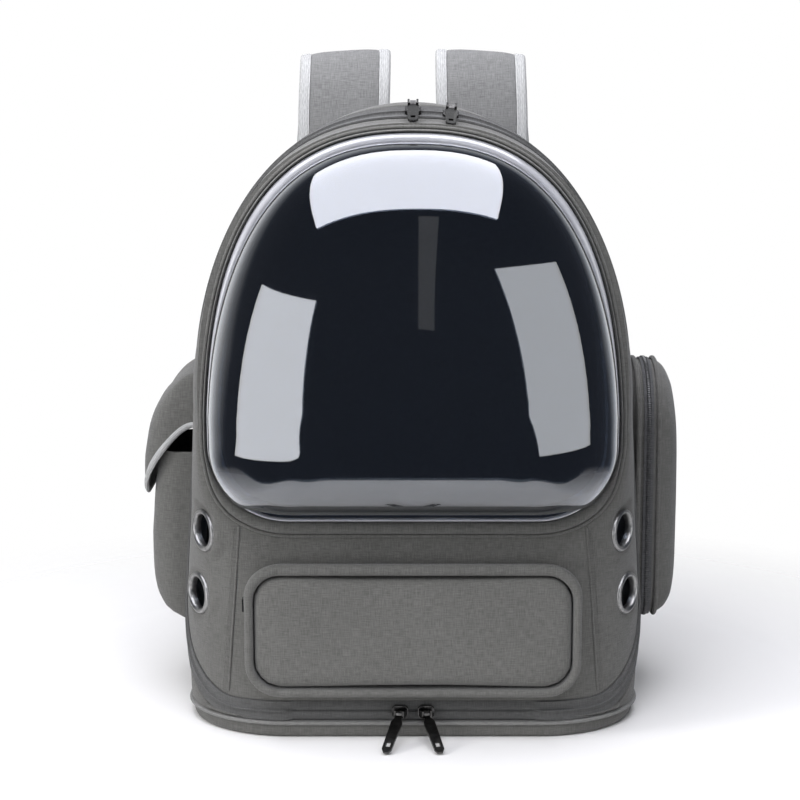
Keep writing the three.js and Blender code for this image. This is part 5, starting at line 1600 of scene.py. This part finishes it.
# %% [markdown]
# ## The metal and plastic fittings
# The sliders, pulls and adjusters keep their CAD shapes. Their edges get a small bevel,
# because a cast edge is never knife sharp, and it is the bevel that catches the light.

# %% Fittings
fittings = ["front_pocket_slider", "right_pocket_slider"]
fittings += [f"{end}_{side}_{kind}" for end in ("bottom", "top") for side in ("left", "right")
             for kind in ("slider", "pull")]
for name in fittings + ["adjuster_left", "adjuster_right"]:
    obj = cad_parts[name]
    obj.data.materials.clear()
    obj.data.materials.append(ACETAL if name.startswith("adjuster") else GUNMETAL)
    weld = obj.modifiers.new("weld", "WELD")
    weld.merge_threshold = 1e-6
    edge = obj.modifiers.new("edge", "BEVEL")
    edge.width = 0.0003
    edge.segments = 3
    edge.limit_method = "ANGLE"
    edge.angle_limit = math.radians(40)
print(len(fittings) + 2, "fittings")

# %% [markdown]
# ## Floor, lights and surroundings
# The bag stands on a small round of pale floor that fades out into a white room, so no
# horizon shows. Large soft boxes stand in front of it. Their places were found by
# following the camera's rays off the bubble, so that each one is mirrored where the
# photograph shows a bright patch. The room in front of the bag is dark, which keeps the
# bubble dark between them, and white behind it, which draws the pale line of its rim.

# %% Floor
FLOOR_EDGE_Y = -0.33
floor_bm = bmesh.new()
bmesh.ops.create_grid(floor_bm, x_segments=8, y_segments=8, size=1)
for vert in floor_bm.verts:
    vert.co.y = lerp(FLOOR_EDGE_Y, 1.0, (vert.co.y + 1) / 2)
floor_mesh = bpy.data.meshes.new("floor")
floor_bm.to_mesh(floor_mesh)
floor_bm.free()
floor = bpy.data.objects.new("floor", floor_mesh)
floor.location.z = -0.0006
scene.collection.objects.link(floor)
floor_material, floor_tree, floor_shader = new_material("pale_floor")
colour_socket(floor_shader, (0.70, 0.69, 0.67))
floor_shader.inputs["Roughness"].default_value = 0.7
floor_where = floor_tree.nodes.new("ShaderNodeTexCoord")
floor_reach = floor_tree.nodes.new("ShaderNodeVectorMath")
floor_reach.operation = "LENGTH"
floor_tree.links.new(floor_where.outputs["Object"], floor_reach.inputs[0])
floor_fade = ramp(floor_tree, floor_reach.outputs["Value"], [(0.30, (1, 1, 1)), (0.56, (0, 0, 0))])
floor_tree.links.new(floor_fade, floor_shader.inputs["Alpha"])
floor_mesh.materials.append(floor_material)
floor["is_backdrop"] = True

# %% Soft boxes


def soft_box(name, corners, colour, strength):
    """A glowing panel with four corners in metres; it lights the bag and is mirrored in it."""
    bm = bmesh.new()
    bm.faces.new([bm.verts.new(corner) for corner in corners])
    mesh = bpy.data.meshes.new(name)
    bm.to_mesh(mesh)
    bm.free()
    material, tree, shader = new_material(name)
    colour_socket(shader, (0, 0, 0))
    shader.inputs["Emission Color"].default_value = (*colour, 1)
    shader.inputs["Emission Strength"].default_value = strength
    mesh.materials.append(material)
    panel = bpy.data.objects.new(name, mesh)
    panel.visible_camera = False
    scene.collection.objects.link(panel)
    panel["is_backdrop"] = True
    return panel


soft_box("top_box", [(-0.69, 0.34, 1.30), (0.52, 0.47, 1.32),
                     (0.51, -1.16, 0.87), (-0.60, -1.14, 0.80)], (0.92, 0.93, 1.0), 5.5)
soft_box("left_box", [(-1.07, -0.83, 0.55), (-0.41, -1.32, 0.31),
                      (-0.36, -1.21, -0.31), (-1.11, -0.68, -0.21)], (0.96, 0.97, 1.0), 3.6)
soft_box("right_box", [(0.36, -1.32, 0.44), (1.05, -0.80, 0.68),
                       (1.14, -0.72, -0.06), (0.47, -1.20, -0.27)], (0.95, 0.97, 1.0), 2.3)
soft_box("strip", [(0.02, -1.75, 0.98), (0.13, -1.75, 0.98),
                   (0.05, -1.75, 0.10), (0.01, -1.75, 0.10)], (0.9, 0.93, 1.0), 0.25)

# %% Key light and room
key = bpy.data.lights.new("key", "AREA")
key.shape = "RECTANGLE"
key.size, key.size_y = 0.5, 0.9
key.energy = 22
key_object = bpy.data.objects.new("key", key)
key_object.location = (-1.6, -0.9, 1.0)
aim = Vector((0, 0, 0.2)) - key_object.location
key_object.rotation_euler = aim.to_track_quat("-Z", "Y").to_euler()
key_object.visible_glossy = False
key_object.visible_transmission = False
scene.collection.objects.link(key_object)

world = bpy.data.worlds.new("room")
scene.world = world
world.use_nodes = True
tree = world.node_tree
where = tree.nodes.new("ShaderNodeTexCoord")
parts = tree.nodes.new("ShaderNodeSeparateXYZ")
tree.links.new(where.outputs["Generated"], parts.inputs[0])
ahead = math_node(tree, "MULTIPLY", parts.outputs[1], 0.4)
leftward = math_node(tree, "MULTIPLY", parts.outputs[0], -0.1)
above = math_node(tree, "MULTIPLY", math_node(tree, "ABSOLUTE", parts.outputs[2]), -0.3)
sideways = math_node(tree, "ADD", ahead, leftward)
behind = math_node(tree, "ADD", math_node(tree, "ADD", sideways, above), 0.5)
shade = ramp(tree, behind, [(0.0, (0.055, 0.065, 0.09)), (0.5, (0.085, 0.095, 0.12)),
                            (0.66, (0.5, 0.51, 0.53)), (0.8, (1, 1, 1))])
seen = tree.nodes.new("ShaderNodeLightPath")
mix = tree.nodes.new("ShaderNodeMixRGB")
mix.inputs[2].default_value = (1, 1, 1, 1)
tree.links.new(seen.outputs["Is Camera Ray"], mix.inputs[0])
tree.links.new(shade, mix.inputs[1])
tree.links.new(mix.outputs[0], tree.nodes["Background"].inputs["Color"])
scene.view_settings.view_transform = "Standard"
print("soft boxes and one key light")

# %% [markdown]
# ## The size of the dressed bag
# The dressed bag may stand a little proud of the CAD box. Its own box is found and
# printed.

# %% Sizes and finish
low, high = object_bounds()
print("visual box:", tuple(low), tuple(high))
